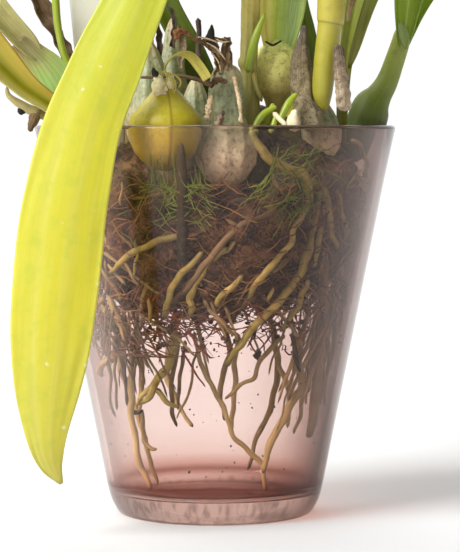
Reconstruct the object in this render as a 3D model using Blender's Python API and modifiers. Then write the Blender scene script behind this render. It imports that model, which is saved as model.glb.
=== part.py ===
"""Potted orchid: a pseudobulb orchid in a tapered glass pot, at its real size.

The origin is the centre of the pot's flat underside, +Z is up, and -Y is the front. Lengths below are in
millimetres and are turned to metres by MM. Every piece of the plant is its own closed solid.
"""

import math

import bmesh
import bpy
from mathutils import Vector

MM = 0.001

# Glass pot: a straight-tapered tumbler with a thick floor and a round rim.
POT_HEIGHT = 140.0
RIM_RADIUS = 64.9
WALL = 2.8
FLOOR = 8.3
FOOT_RADIUS = 34.3
HEEL_RADIUS, HEEL_HEIGHT = 39.1, 10.3
SLOPE = (RIM_RADIUS - HEEL_RADIUS) / (POT_HEIGHT - HEEL_HEIGHT)
POT_STEPS = 40

# Root ball: it fills the pot between two heights, this far in from the glass.
BALL_TOP, BALL_BOTTOM = 116.0, 66.0
BALL_INSET = 9.5

RHIZOME_RADIUS = 3.4
LEAF_THICKNESS = 0.9
BLADE_THICKNESS = 0.7
LABEL_THICKNESS = 0.8
# The two directions across a blade, at its foot and tip, that keep it facing the front.
FACING_FRONT = ((1, 0, 0), (1, 0, 0))

# Outlines of a pseudobulb from its top down: the share of its height, and of its largest radius.
EGG_SHAPE = ((1.0, 0.0), (0.985, 0.2), (0.93, 0.37), (0.82, 0.62), (0.66, 0.87), (0.46, 1.0),
             (0.27, 0.9), (0.12, 0.62), (0.03, 0.3), (0.0, 0.0))
PEAR_SHAPE = ((1.0, 0.0), (0.97, 0.22), (0.88, 0.38), (0.7, 0.56), (0.5, 0.77), (0.35, 0.97), (0.25, 1.0),
              (0.14, 0.84), (0.04, 0.42), (0.0, 0.0))


def pot_radius(height):
    """Outer radius of the straight part of the wall at a height."""
    return HEEL_RADIUS + SLOPE * (height - HEEL_HEIGHT)


def inner_radius(height):
    return pot_radius(height) - WALL


def by_the_glass(x, height, inset, radius):
    """A root's point that lies this far in from the front glass."""
    reach = inner_radius(height) - inset
    return (x, -math.sqrt(reach * reach - x * x), height, radius)


def finish(name, colour, roughness):
    material = bpy.data.materials.new(name)
    material.use_nodes = True
    shader = material.node_tree.nodes["Principled BSDF"]
    shader.inputs["Base Color"].default_value = (*colour, 1.0)
    shader.inputs["Roughness"].default_value = roughness
    shader.inputs["Metallic"].default_value = 0.0
    material.diffuse_color = (*colour, 1.0)
    return material


def smooth_route(points, per_span):
    """Points of any dimension along a smooth curve through the given ones."""
    route = [Vector(p) for p in points]
    route = [2 * route[0] - route[1], *route, 2 * route[-1] - route[-2]]
    result = []
    for before, start, end, after in zip(route, route[1:], route[2:], route[3:]):
        for step in range(per_span):
            t = step / per_span
            result.append(0.5 * (2 * start + (end - before) * t
                                 + (2 * before - 5 * start + 4 * end - after) * t * t
                                 + (3 * start - before - 3 * end + after) * t * t * t))
    result.append(route[-2])
    return result


def place(name, data, material, collection):
    data.materials.append(material)
    piece = bpy.data.objects.new(name, data)
    collection.objects.link(piece)
    return piece


def tube(name, points, material, collection, per_span=2, sides=2):
    """A stem or root through points of x, y, z and radius."""
    curve = bpy.data.curves.new(name, "CURVE")
    curve.dimensions = "3D"
    curve.bevel_depth = MM
    curve.bevel_resolution = sides
    curve.use_fill_caps = True
    route = smooth_route(points, per_span)
    spline = curve.splines.new("POLY")
    spline.points.add(len(route) - 1)
    for point, spot in zip(spline.points, route):
        point.co = (spot[0] * MM, spot[1] * MM, spot[2] * MM, 1.0)
        point.radius = spot[3]
    return place(name, curve, material, collection)


def turned(name, profile, steps, material, collection):
    """A solid of revolution from an outline of (radius, height) that runs from the top down the outside."""
    mesh = bpy.data.meshes.new(name)
    mesh.from_pydata([(r * MM, 0.0, z * MM) for r, z in profile], [(i, i + 1) for i in range(len(profile) - 1)], [])
    piece = place(name, mesh, material, collection)
    screw = piece.modifiers.new("turn", "SCREW")
    screw.steps = screw.render_steps = steps
    screw.use_merge_vertices = True
    screw.merge_threshold = 0.00001
    screw.use_smooth_shade = True
    return piece


def bulb(name, foot, top, radius, material, collection, shape=EGG_SHAPE, flatness=1.0, steps=14):
    """A pseudobulb between two points, with its widest place below the middle."""
    foot, top = Vector(foot), Vector(top)
    axis = top - foot
    profile = [(radius * width, share * axis.length) for share, width in shape]
    piece = turned(name, profile, steps, material, collection)
    piece.location = foot * MM
    piece.rotation_euler = axis.to_track_quat("Z", "Y").to_euler()
    piece.scale = (1.0, flatness, 1.0)
    return piece


def blade(name, points, across, fold, material, collection, thickness=LEAF_THICKNESS, per_span=3, widths=4):
    """A leaf through points of x, y, z and width. across runs over its width, at the foot and at the tip, and
    fold lifts its edges by that share of half its width."""
    route = smooth_route(points, per_span)
    last = len(route) - 1
    grid = bmesh.new()
    bmesh.ops.create_grid(grid, x_segments=last, y_segments=widths, size=0.5)
    foot_across, tip_across = Vector(across[0]), Vector(across[1])
    for vertex in grid.verts:
        step = round((vertex.co.x + 0.5) * last)
        over = vertex.co.y * 2
        spot = route[step]
        ahead = (route[min(step + 1, last)] - route[max(step - 1, 0)]).to_3d().normalized()
        side = foot_across.lerp(tip_across, step / last)
        side = (side - ahead * side.dot(ahead)).normalized()
        up = side.cross(ahead)
        half = spot[3] / 2
        vertex.co = (spot.to_3d() + side * over * half + up * abs(over) * half * fold) * MM
    bmesh.ops.recalc_face_normals(grid, faces=grid.faces)
    mesh = bpy.data.meshes.new(name)
    grid.to_mesh(mesh)
    grid.free()
    mesh.shade_smooth()
    piece = place(name, mesh, material, collection)
    wall = piece.modifiers.new("thickness", "SOLIDIFY")
    wall.thickness = thickness * MM
    wall.offset = 0.0
    return piece


def arc(centre_r, centre_z, radius, start, end, count):
    """Outline points on an arc, with its angles in degrees from +X towards +Z."""
    angles = [math.radians(start + (end - start) * i / count) for i in range(count + 1)]
    return [(centre_r + radius * math.cos(a), centre_z + radius * math.sin(a)) for a in angles]


def make_pot(collection):
    glass = finish("tinted_glass", (0.80, 0.60, 0.58), 0.05)
    corner = 4.0
    lip = WALL / 2
    inside = inner_radius(FLOOR + corner)
    profile = [(0.0, FLOOR)]
    profile += arc(inside - corner, FLOOR + corner, corner, -90, 0, 4)
    profile += arc(RIM_RADIUS - lip, POT_HEIGHT - lip, lip, 180, 0, 6)
    profile += [(HEEL_RADIUS, HEEL_HEIGHT)]
    profile += [(HEEL_RADIUS - 0.8, 6.8), (HEEL_RADIUS - 2.0, 3.8), (HEEL_RADIUS - 3.4, 1.5)]
    profile += [(FOOT_RADIUS, 0.0), (0.0, 0.0)]
    turned("glass_pot", profile, POT_STEPS, glass, collection)


def make_root_ball(collection):
    fibre = finish("root_fibre", (0.13, 0.08, 0.05), 0.9)
    rise = 4.0
    shoulder, foot = BALL_TOP - rise, BALL_BOTTOM + rise
    profile = [(0.0, BALL_TOP), (inner_radius(shoulder) - BALL_INSET - rise, BALL_TOP)]
    for height in (shoulder, 0.5 * (shoulder + foot), foot):
        profile.append((inner_radius(height) - BALL_INSET, height))
    profile += [(inner_radius(foot) - BALL_INSET - rise, BALL_BOTTOM), (0.0, BALL_BOTTOM)]
    turned("root_ball", profile, 20, fibre, collection)


def make_rhizome(collection):
    wood = finish("rhizome_bark", (0.24, 0.20, 0.08), 0.7)
    route = [(-42, -6), (-24, -10), (-6, -12), (10, -13), (24, -13), (37, -14), (47, -4), (46, 8)]
    tube("rhizome", [(x, y, 121.0, RHIZOME_RADIUS) for x, y in route], wood, collection)


def make_bulbs(collection):
    yellow = finish("bulb_yellow_green", (0.42, 0.40, 0.05), 0.45)
    grey = finish("bulb_grey_green", (0.36, 0.38, 0.24), 0.55)
    speckled = finish("bulb_speckled", (0.40, 0.40, 0.16), 0.5)
    bulb("bulb_front", (-16.5, -45, 124), (-16.5, -45, 154.5), 13.0, yellow, collection, steps=18)
    bulb("bulb_middle", (4.3, -35, 118.2), (3.4, -35.5, 162), 11.0, grey, collection, shape=PEAR_SHAPE, steps=16)
    bulb("bulb_speckled", (22, -13, 126), (21.5, -15, 171), 7.6, speckled, collection)
    bulb("bulb_left", (-24, -12, 126), (-24, -12, 171), 8.5, grey, collection)
    bulb("bulb_left_rear", (-15, 6, 126), (-16, 3, 179), 5.6, grey, collection)
    bulb("bulb_small", (-7, -20, 126), (-6.5, -22, 157), 6.0, grey, collection)
    bulb("bulb_right_low", (38, -17, 126), (37, -20, 149), 7.6, grey, collection)
    bulb("bulb_back_left", (-26, 26, 118.4), (-26, 27, 164), 9.5, speckled, collection)
    bulb("bulb_back_right", (28, 24, 118.4), (27, 24, 160), 9.0, yellow, collection)


def make_stems(collection):
    khaki = finish("stem_khaki", (0.38, 0.38, 0.14), 0.5)
    yellow = finish("stem_yellow", (0.55, 0.52, 0.08), 0.45)
    green = finish("stem_green", (0.20, 0.32, 0.04), 0.45)
    tube("stem_khaki", [(10.7, -22, 126, 2.7), (10.7, -22, 141, 2.7), (11.8, -22.5, 161, 3.0), (13, -24.5, 198, 3.6)],
         khaki, collection, sides=3)
    tube("stem_yellow", [(39.3, -33, 146, 1.0), (38.8, -33, 149.5, 3.6), (38.6, -33, 154, 4.2),
                         (40.2, -33, 166, 4.4), (41.2, -33, 185, 4.5), (42, -32, 206, 4.4)],
         yellow, collection, sides=3)
    tube("petiole_right", [(45, 3, 128, 4.6), (50, 3, 134, 6.0), (54, 3, 142, 6.7), (59.5, 3, 150.5, 5.8),
                           (63, 3, 157, 4.7), (66.5, 2, 168, 3.9), (68.3, 2, 175, 3.4)],
         green, collection, sides=3)
    tube("stem_young_left", [(-43, -23, 150, 1.2), (-52, -22, 163, 1.2), (-55, -20, 174, 1.3), (-56, -19, 185, 1.4),
                             (-58, -18, 210, 1.3), (-63, -19, 238, 1.0), (-71, -22, 262, 0.5)], green, collection)
    tube("shoot_tall", [(11.6, -28.5, 161, 1.0), (13.5, -28, 168, 1.3), (17.5, -27, 179, 0.5)], green, collection)
    tube("shoot_rim_near", [(23, -38, 143.5, 1.5), (25, -37, 147, 1.4), (27.6, -36, 150.5, 1.0)], green, collection)
    tube("shoot_rim_far", [(16, -41, 138, 1.4), (18, -40, 144, 1.3), (21.5, -39, 149, 0.9)], green, collection)
    tube("stalk_olive", [(16.6, -27, 150, 0.7), (15, -27.5, 155, 0.7), (13.4, -28, 159, 0.6)], green, collection)
    tube("root_stub_rim", [(20, -44, 144.5, 0.9), (22.5, -45, 142, 0.9), (25, -46, 139.5, 0.8)], khaki, collection)


def make_front_leaf(collection):
    leaf = finish("leaf_yellow_green", (0.62, 0.68, 0.05), 0.4)
    points = [(-24.5, -12, 172, 4.5), (-26, -13, 190, 6), (-22, -17, 209, 10), (-17, -28, 222, 14),
              (-15.5, -42, 221, 17), (-18.5, -53, 205, 19), (-26.5, -60, 182, 21), (-35.5, -64, 161, 24),
              (-43.6, -67, 140, 26), (-48.5, -69.5, 119, 28), (-51.5, -71, 97, 29), (-54, -71.5, 72, 27.5),
              (-55.6, -70, 52, 22), (-56.2, -68, 36, 14), (-54.8, -65.5, 26, 8), (-51.5, -63, 19.5, 1.0)]
    blade("leaf_front", points, ((1, 0, 0), (1, 0.1, 0)), 0.12, leaf, collection, per_span=2)


def make_upper_leaves(collection):
    broad = finish("leaf_broad_green", (0.22, 0.34, 0.10), 0.45)
    khaki = finish("leaf_khaki", (0.50, 0.46, 0.10), 0.45)
    dark = finish("leaf_dark_green", (0.09, 0.20, 0.03), 0.45)
    fresh = finish("leaf_fresh_green", (0.30, 0.45, 0.04), 0.4)
    flat = ((1, 0, 0), (1, 0.2, 0))
    blade("leaf_broad", [(22.5, -14, 171.8, 11), (23.5, -13.5, 186, 17), (26, -14, 215, 22), (32, -14, 250, 27),
                         (42, -8, 285, 26), (57, 2, 312, 19), (74, 14, 326, 9), (86, 22, 329, 1)],
          flat, 0.45, broad, collection)
    blade("leaf_khaki", [(13.2, -24.5, 199, 6.5), (12, -25, 215, 12), (6, -27, 245, 17), (-4, -34, 272, 18),
                         (-18, -44, 291, 15), (-34, -54, 298, 8), (-45, -60, 295, 1)],
          ((1, 0, 0), (0.8, -0.6, 0)), 0.35, khaki, collection)
    blade("leaf_yellow_stem", [(42.2, -32, 207, 8), (43.5, -31, 222, 14), (49, -29, 252, 19), (60, -28, 282, 19),
                               (77, -28, 305, 15), (98, -30, 316, 8), (112, -32, 315, 1)],
          ((1, 0, 0), (0.6, -0.8, 0)), 0.4, khaki, collection)
    blade("leaf_dark_back", [(4, 11, 126, 8), (-1.5, 12, 150, 9), (-6, 12.5, 166, 10), (-15, 13, 186, 10),
                             (-25, 15, 215, 14), (-34, 19, 250, 17), (-42, 27, 285, 14), (-48, 38, 312, 7),
                             (-51, 45, 322, 1)],
          flat, 0.3, dark, collection)
    blade("leaf_dark_right", [(34, 0, 126, 5), (34.5, -1, 145, 5), (36, -3, 159, 6), (33.5, -4, 173, 5),
                              (30, -4, 190, 5), (31, -2, 214, 8), (38, 4, 240, 8), (46, 12, 258, 1)],
          flat, 0.3, dark, collection)
    blade("leaf_vee_inner", [(45, -9, 131, 4), (45.5, -11, 150, 4.5), (46.5, -13.5, 164, 5), (50.5, -15, 186, 7.5),
                             (58, -14, 215, 12), (69, -10, 250, 15), (84, -2, 280, 11), (96, 6, 296, 1)],
          ((1, 0, 0), (1, -0.3, 0)), 0.35, fresh, collection)
    blade("leaf_vee_outer", [(48.5, -19, 163, 3), (55.5, -20, 185, 4.5), (67, -22, 213, 9), (83, -26, 240, 11),
                             (103, -31, 258, 8), (119, -35, 263, 1)],
          ((1, 0, -0.4), (0.5, -0.8, 0)), 0.35, fresh, collection)
    blade("leaf_back_left", [(-26, 27.5, 165, 6), (-29, 31, 185, 10), (-36, 42, 215, 18), (-46, 60, 243, 23),
                             (-58, 82, 258, 21), (-71, 104, 254, 13), (-80, 118, 241, 1)],
          ((1, 0, 0), (0.8, 0.5, 0)), 0.25, dark, collection)
    blade("leaf_back_right", [(27, 24.5, 161, 6), (26, 27, 185, 10), (28, 36, 222, 19), (36, 54, 256, 24),
                              (48, 78, 276, 20), (62, 102, 276, 11), (71, 117, 266, 1)],
          ((1, 0, 0), (0.8, -0.5, 0)), 0.25, broad, collection)


def make_left_leaves(collection):
    yellow = finish("leaf_yellow", (0.62, 0.55, 0.08), 0.45)
    khaki = finish("sheath_khaki", (0.45, 0.42, 0.20), 0.55)
    brown = finish("dry_brown", (0.20, 0.12, 0.08), 0.85)
    blade("leaf_left_folded", [(-41, -25, 134, 7), (-48, -27, 141.5, 9), (-56, -30, 150, 11.5), (-65, -33, 156.5, 14),
                               (-77, -37, 168, 15), (-96, -43, 184, 18), (-120, -50, 198, 20), (-148, -57, 203, 18),
                               (-174, -62, 196, 10), (-188, -64, 187, 1)],
          ((0.4, 0.45, 0.8), (0.1, 0.9, 0.4)), 0.45, yellow, collection, per_span=3)
    tube("sheath_left", [(-43, -9, 128, 3.4), (-46, -9, 142, 4.6), (-52, -10, 152, 5.6), (-59.5, -10, 160, 5.6),
                         (-66, -11, 167, 4.6)], khaki, collection, sides=3)
    blade("leaf_left_upper", [(-67.5, -11.5, 168.5, 7), (-77, -12, 178.5, 9), (-92, -12, 196, 13),
                              (-110, -10, 217, 16), (-133, -6, 236, 16), (-158, 0, 246, 10), (-174, 4, 247, 1)],
          ((0.5, 0.6, 0.6), (0.2, 1, 0)), 0.4, khaki, collection)
    blade("strip_brown_left", [(-46, 2, 142, 4), (-51, 2, 160, 5.5), (-58, 1, 175, 7), (-64, 0, 187, 7),
                               (-70, 0, 201, 5), (-72, 1, 209, 1)],
          FACING_FRONT, 0.3, brown, collection, thickness=BLADE_THICKNESS, per_span=3)


def make_right_leaves(collection):
    fresh = finish("leaf_bright_green", (0.30, 0.48, 0.03), 0.4)
    blue = finish("bract_blue_green", (0.22, 0.33, 0.14), 0.5)
    blade("leaf_right_near", [(68.6, 0, 176.2, 6), (70, -1, 187, 10), (74, -5, 210, 17), (84, -11, 240, 22),
                              (101, -17, 265, 22), (124, -22, 280, 16), (148, -26, 280, 7), (160, -28, 275, 1)],
          ((1, -0.2, 0), (0.5, -1, 0)), 0.35, fresh, collection)
    blade("leaf_right_far", [(70, 4, 176, 4.5), (76, 5, 187, 6), (90, 9, 211, 13), (108, 16, 235, 18),
                             (130, 26, 249, 16), (152, 36, 250, 8), (164, 42, 245, 1)],
          ((1, 0.2, -0.3), (0.5, 0.8, 0)), 0.4, fresh, collection)
    blade("bract_right", [(69.5, -4.5, 168, 3.4), (68.5, -5, 172.5, 4.2), (67, -5.5, 177, 1)],
          FACING_FRONT, 0.3, blue, collection, thickness=BLADE_THICKNESS)


def make_dry_pieces(collection):
    papery = finish("sheath_papery", (0.33, 0.25, 0.16), 0.85)
    brown = finish("dry_dark_brown", (0.14, 0.09, 0.05), 0.9)
    straw = finish("dry_straw", (0.62, 0.50, 0.22), 0.8)
    rust = finish("dry_rust", (0.38, 0.17, 0.07), 0.85)
    tube("sheath_spotted_tall", [(33, -29, 139, 3.0), (32.5, -28.5, 146, 3.8), (30, -28, 156, 3.9),
                                 (30.4, -28, 165, 2.4), (31.2, -28, 174.5, 0.6)], papery, collection, sides=3)
    tube("sheath_spotted_short", [(45, -38, 145, 2.2), (44.4, -39.5, 151, 2.3), (43.2, -40.5, 160, 2.0),
                                  (42.4, -41, 167.5, 1.2)], papery, collection, sides=3)
    bulb("husk_middle", (3, -36, 162.6), (1, -35, 172), 4.6, brown, collection, flatness=0.7, steps=10)
    tube("flower_dried", [(-1.5, -42, 165.5, 0.7), (-5, -41, 170, 0.8), (-8.5, -40, 171, 1.4), (-11, -40, 173, 1.8),
                          (-12.5, -40, 170, 1.2)], rust, collection)
    blade("ribbon_dry", [(-17.5, -47, 158.2, 2.0), (-16.5, -47.5, 161, 2.4), (-12.5, -48, 164.5, 2.6),
                         (-8, -48, 163.5, 2.8), (-5, -48.5, 160, 3), (-2.6, -49, 156.5, 3)],
          ((0, 1, 0.4), (0.2, 1, 0.6)), 0.1, straw, collection, thickness=BLADE_THICKNESS)
    tube("twig_cross", [(-26, -30, 156.5, 0.7), (-12.6, -35, 157.2, 0.7), (-6, -41, 156.5, 0.7),
                        (-1, -45.8, 155, 0.6)], brown, collection)
    tube("twig_upright", [(-5.4, -28.5, 159, 0.9), (-5.8, -28, 169, 0.9), (-6.3, -28, 178.5, 1.0)],
         brown, collection)
    tube("strip_cream", [(9.2, -47.5, 141, 0.7), (8.6, -46.5, 148, 0.7), (7, -44.2, 156.5, 0.8)],
         straw, collection)
    tube("strip_tan_right", [(46.5, -22, 176, 0.5), (47.5, -22, 181, 1.0), (49, -21.5, 187, 0.9), (50.5, -21, 192, 0.5)],
         straw, collection)
    turned_collar = [(2.6, 157.0), (3.2, 155.2), (3.4, 155.0), (0.0, 155.0)]
    collar = turned("collar_front", [(0.0, 157.0), *turned_collar], 12, straw, collection)
    collar.location = (-16.5 * MM, -45 * MM, 0.0)


def make_roots(collection):
    olive = finish("root_olive", (0.30, 0.26, 0.09), 0.6)
    tan = finish("root_tan", (0.45, 0.33, 0.19), 0.65)
    dark = finish("root_dark", (0.12, 0.09, 0.04), 0.75)
    tube("root_dark_front", [by_the_glass(-10.5, 123, 4.3, 1.6), by_the_glass(-10.8, 108, 4.3, 2.0),
                             by_the_glass(-10.5, 94, 4.3, 1.6)], dark, collection)
    tube("root_trunk", [by_the_glass(13, 136, 4.5, 1.6), by_the_glass(18, 129, 4.5, 2.1),
                        by_the_glass(24.5, 125.5, 4.5, 2.1), by_the_glass(30.5, 122, 4.5, 2.1),
                        by_the_glass(32.5, 113, 4.5, 1.7)], olive, collection)
    tube("root_olive_left", [by_the_glass(-15.5, 101.5, 3, 1.3), by_the_glass(-23.6, 98.5, 3, 1.5),
                             by_the_glass(-29.8, 94.5, 3, 1.5), by_the_glass(-36, 88.5, 3.4, 1.0)], olive, collection)
    tube("root_olive_middle", [by_the_glass(4.5, 98, 4, 1.2), by_the_glass(-2, 93, 4, 1.5),
                               by_the_glass(-3.8, 89.5, 4, 1.5), by_the_glass(-8.6, 81.5, 4, 1.5),
                               by_the_glass(-7.4, 78, 4, 1.3), by_the_glass(-8.2, 74.5, 4, 1.0)], olive, collection)
    tube("root_long_right", [by_the_glass(33, 104, 4, 1.5), by_the_glass(29.5, 89.5, 4, 1.8),
                             by_the_glass(22.5, 80, 4, 1.8), (13.5, -41, 71, 1.7), (3.6, -37, 57, 1.1)],
         olive, collection)
    tube("root_pale_right", [by_the_glass(38, 96, 5, 1.6), by_the_glass(37.6, 80, 5, 2.0),
                             by_the_glass(37, 66, 5, 2.0), (34.5, -19, 43, 1.8), (33, -14, 29, 1.2)],
         tan, collection)
    tube("root_thick_tan", [(29, -22, 62, 1.6), (29.5, -23, 55, 1.8), (30.5, -23.5, 48, 1.9), (26.5, -24, 42, 1.8),
                            (22.5, -24, 34.5, 1.7), (19, -24, 27, 1.6), (17, -24, 17.5, 1.1)], tan, collection)
    tube("root_long_tan", [(-8, -18, 63, 1.0), (-4.7, -18, 56, 1.1), (-1, -17, 48.5, 1.1), (3.3, -16, 39, 1.1),
                           (6.5, -15, 29, 1.1), (11, -13, 24.5, 1.1), (15.5, -12, 21, 1.1), (17, -12, 17.5, 1.0),
                           (18, -12, 10, 0.9)], tan, collection)
    tube("root_hang_left", [(-28, -16, 61, 1.4), (-29.5, -15, 49, 1.6), (-29.5, -13, 36, 1.5), (-28, -10, 24, 1.5),
                            (-25, -8, 15, 1.3), (-22, -8, 10.5, 1.0)], tan, collection)
    tube("root_fork_middle", [(-12, -24, 63, 1.7), (-16, -24.5, 56, 1.9), (-21, -25, 49, 1.8), (-22.6, -25, 45, 1.6),
                              (-25.5, -23, 41.5, 1.0)], olive, collection)
    tube("root_over_rim", [(-58.5, -24, 144.5, 1.6), (-63, -25, 145.5, 1.9), (-68, -26, 147.5, 1.8),
                           (-71.5, -27, 151, 1.4), (-73, -27, 155, 0.7)], tan, collection)


def make_label(collection):
    plastic = finish("label_plastic", (0.80, 0.79, 0.74), 0.5)
    blade("plant_label", [(-39, 9, 118.5, 9), (-40.5, 9, 135, 15), (-44.2, 9, 176, 15.5), (-46.2, 9, 199, 15.5),
                          (-46.6, 9, 203, 12)],
          FACING_FRONT, 0.0, plastic, collection, thickness=LABEL_THICKNESS, per_span=2, widths=2)


def main():
    for piece in list(bpy.data.objects):
        bpy.data.objects.remove(piece)
    collection = bpy.data.collections.new("potted_orchid")
    bpy.context.scene.collection.children.link(collection)
    make_pot(collection)
    make_root_ball(collection)
    make_rhizome(collection)
    make_bulbs(collection)
    make_stems(collection)
    make_front_leaf(collection)
    make_upper_leaves(collection)
    make_left_leaves(collection)
    make_right_leaves(collection)
    make_dry_pieces(collection)
    make_roots(collection)
    make_label(collection)


main()
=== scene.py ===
"""A pseudobulb orchid in a tinted glass pot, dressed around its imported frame.

Lengths are in millimetres and become metres only where a mesh is written. The plant's routes repeat those of
the frame's own pieces. The pot, the bulbs and the collar take their sizes and places from the frame, and the
root mass and the roots in it keep to the pot's wall.
"""

import logging
import math
import random
from dataclasses import dataclass, field
from enum import Enum
from typing import Callable, ClassVar, Sequence

import bmesh
import bpy
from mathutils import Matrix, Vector, noise


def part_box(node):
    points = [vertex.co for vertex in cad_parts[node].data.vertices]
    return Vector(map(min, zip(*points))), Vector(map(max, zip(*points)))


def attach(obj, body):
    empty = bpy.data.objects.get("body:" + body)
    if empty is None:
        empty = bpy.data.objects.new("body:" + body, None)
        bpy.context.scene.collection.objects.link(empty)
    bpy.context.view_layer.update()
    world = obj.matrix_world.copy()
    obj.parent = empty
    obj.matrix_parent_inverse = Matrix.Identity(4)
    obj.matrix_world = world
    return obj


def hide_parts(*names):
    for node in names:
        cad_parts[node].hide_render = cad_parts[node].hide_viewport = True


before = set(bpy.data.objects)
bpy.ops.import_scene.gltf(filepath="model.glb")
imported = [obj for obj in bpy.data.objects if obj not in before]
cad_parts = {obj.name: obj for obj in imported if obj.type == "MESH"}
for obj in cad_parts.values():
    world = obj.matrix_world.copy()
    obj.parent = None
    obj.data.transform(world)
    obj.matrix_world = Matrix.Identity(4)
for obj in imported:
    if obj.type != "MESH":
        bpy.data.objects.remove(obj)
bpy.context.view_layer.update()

LOG = logging.getLogger("orchid")
MM = 0.001
BODY = "root"
SEED = 7

Point = Sequence[float]
Stops = Sequence[tuple[float, str]]
Surface = Callable[[float, float], Vector]
Value = bpy.types.NodeSocket | float
Colour = bpy.types.NodeSocket | Sequence[float]


# ---------------------------------------------------------------- colour and nodes


def linear(code: str) -> tuple[float, float, float, float]:
    """Turn an sRGB hex colour to linear RGBA.

    Args:
        code: the colour as "#rrggbb".

    Returns:
        Red, green and blue in linear light, and an alpha of 1.
    """
    parts = [int(code[i:i + 2], 16) / 255 for i in (1, 3, 5)]
    red, green, blue = (c / 12.92 if c <= 0.04045 else ((c + 0.055) / 1.055) ** 2.4 for c in parts)
    return red, green, blue, 1.0


def add_node(tree: bpy.types.NodeTree, kind: str, settings: dict | None = None, **inputs) -> bpy.types.Node:
    """Add a shader node with its settings and inputs.

    Args:
        tree: the node tree to add to.
        kind: the node's type name, without the ShaderNode prefix.
        settings: attributes to set on the node.
        inputs: values or sockets for its inputs, named in lower case with _ for a space, or in0, in1 by
            number.

    Returns:
        The new node.
    """
    node = tree.nodes.new("ShaderNode" + kind)
    for key, value in (settings or {}).items():
        setattr(node, key, value)
    names = {s.name.lower().replace(" ", "_"): s for s in reversed(node.inputs)}
    for key, value in inputs.items():
        socket = node.inputs[int(key[2:])] if key[:2] == "in" and key[2:].isdigit() else names[key]
        if isinstance(value, bpy.types.NodeSocket):
            tree.links.new(value, socket)
        else:
            socket.default_value = value
    return node


def ramp(tree: bpy.types.NodeTree, factor: bpy.types.NodeSocket, stops: Stops) -> bpy.types.NodeSocket:
    """Colour a value by stops of position and hex colour.

    Args:
        tree: the node tree to add to.
        factor: the value's socket.
        stops: positions from 0 to 1 with their colours.

    Returns:
        The ramp's colour output.
    """
    node = add_node(tree, "ValToRGB", in0=factor)
    elements = node.color_ramp.elements
    while len(elements) < len(stops):
        elements.new(0.5)
    for element, (position, code) in zip(elements, stops):
        element.position = position
        element.color = linear(code)
    return node.outputs["Color"]


def blend(tree: bpy.types.NodeTree, factor: Value, first: Colour, second: Colour,
          mode: str = "MIX") -> bpy.types.NodeSocket:
    """Mix two colours.

    Args:
        tree: the node tree to add to.
        factor: a value or its socket.
        first: the colour at 0, as a socket or RGBA.
        second: the colour at 1, as a socket or RGBA.
        mode: the blend type.

    Returns:
        The mixed colour's socket.
    """
    node = add_node(tree, "Mix", {"data_type": "RGBA", "blend_type": mode}, in0=factor, in6=first, in7=second)
    return node.outputs[2]


def spread(tree: bpy.types.NodeTree, value: Value, low: float, high: float,
           to: float = 1.0) -> bpy.types.NodeSocket:
    """Stretch a value's range from low..high to 0..to, clamped.

    Args:
        tree: the node tree to add to.
        value: the value's socket.
        low: the value that becomes 0.
        high: the value that becomes to.
        to: the highest result.

    Returns:
        The result's socket.
    """
    node = add_node(tree, "MapRange", {"interpolation_type": "SMOOTHSTEP"}, value=value, from_min=low,
                    from_max=high, to_min=0.0, to_max=to)
    return node.outputs[0]


def reckon(tree: bpy.types.NodeTree, operation: str, first: Value, second: Value) -> bpy.types.NodeSocket:
    """Combine two values.

    Args:
        tree: the node tree to add to.
        operation: the Math node's operation, such as "ADD".
        first: the first value.
        second: the second value.

    Returns:
        The result's socket.
    """
    return add_node(tree, "Math", {"operation": operation}, in0=first, in1=second).outputs[0]


def cloud(tree: bpy.types.NodeTree, place: bpy.types.NodeSocket, every_mm: float, detail: float = 3.0,
          **look: float) -> bpy.types.NodeSocket:
    """Make smooth noise in space.

    Args:
        tree: the node tree to add to.
        place: the coordinates, in metres.
        every_mm: how far apart its patches are, in millimetres.
        detail: how many finer layers it has.
        look: its roughness or distortion.

    Returns:
        The noise's value, from 0 to 1.
    """
    return add_node(tree, "TexNoise", vector=place, scale=1 / (every_mm * MM), detail=detail,
                    **look).outputs["Fac"]


def new_material(name: str) -> tuple[bpy.types.Material, bpy.types.NodeTree, bpy.types.Node]:
    """Start a material with an empty tree and an output.

    Args:
        name: the material's name.

    Returns:
        The material, its tree and its output node.
    """
    material = bpy.data.materials.new(name)
    material.use_nodes = True
    tree = material.node_tree
    tree.nodes.clear()
    return material, tree, add_node(tree, "OutputMaterial")


# ---------------------------------------------------------------- finishes


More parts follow.
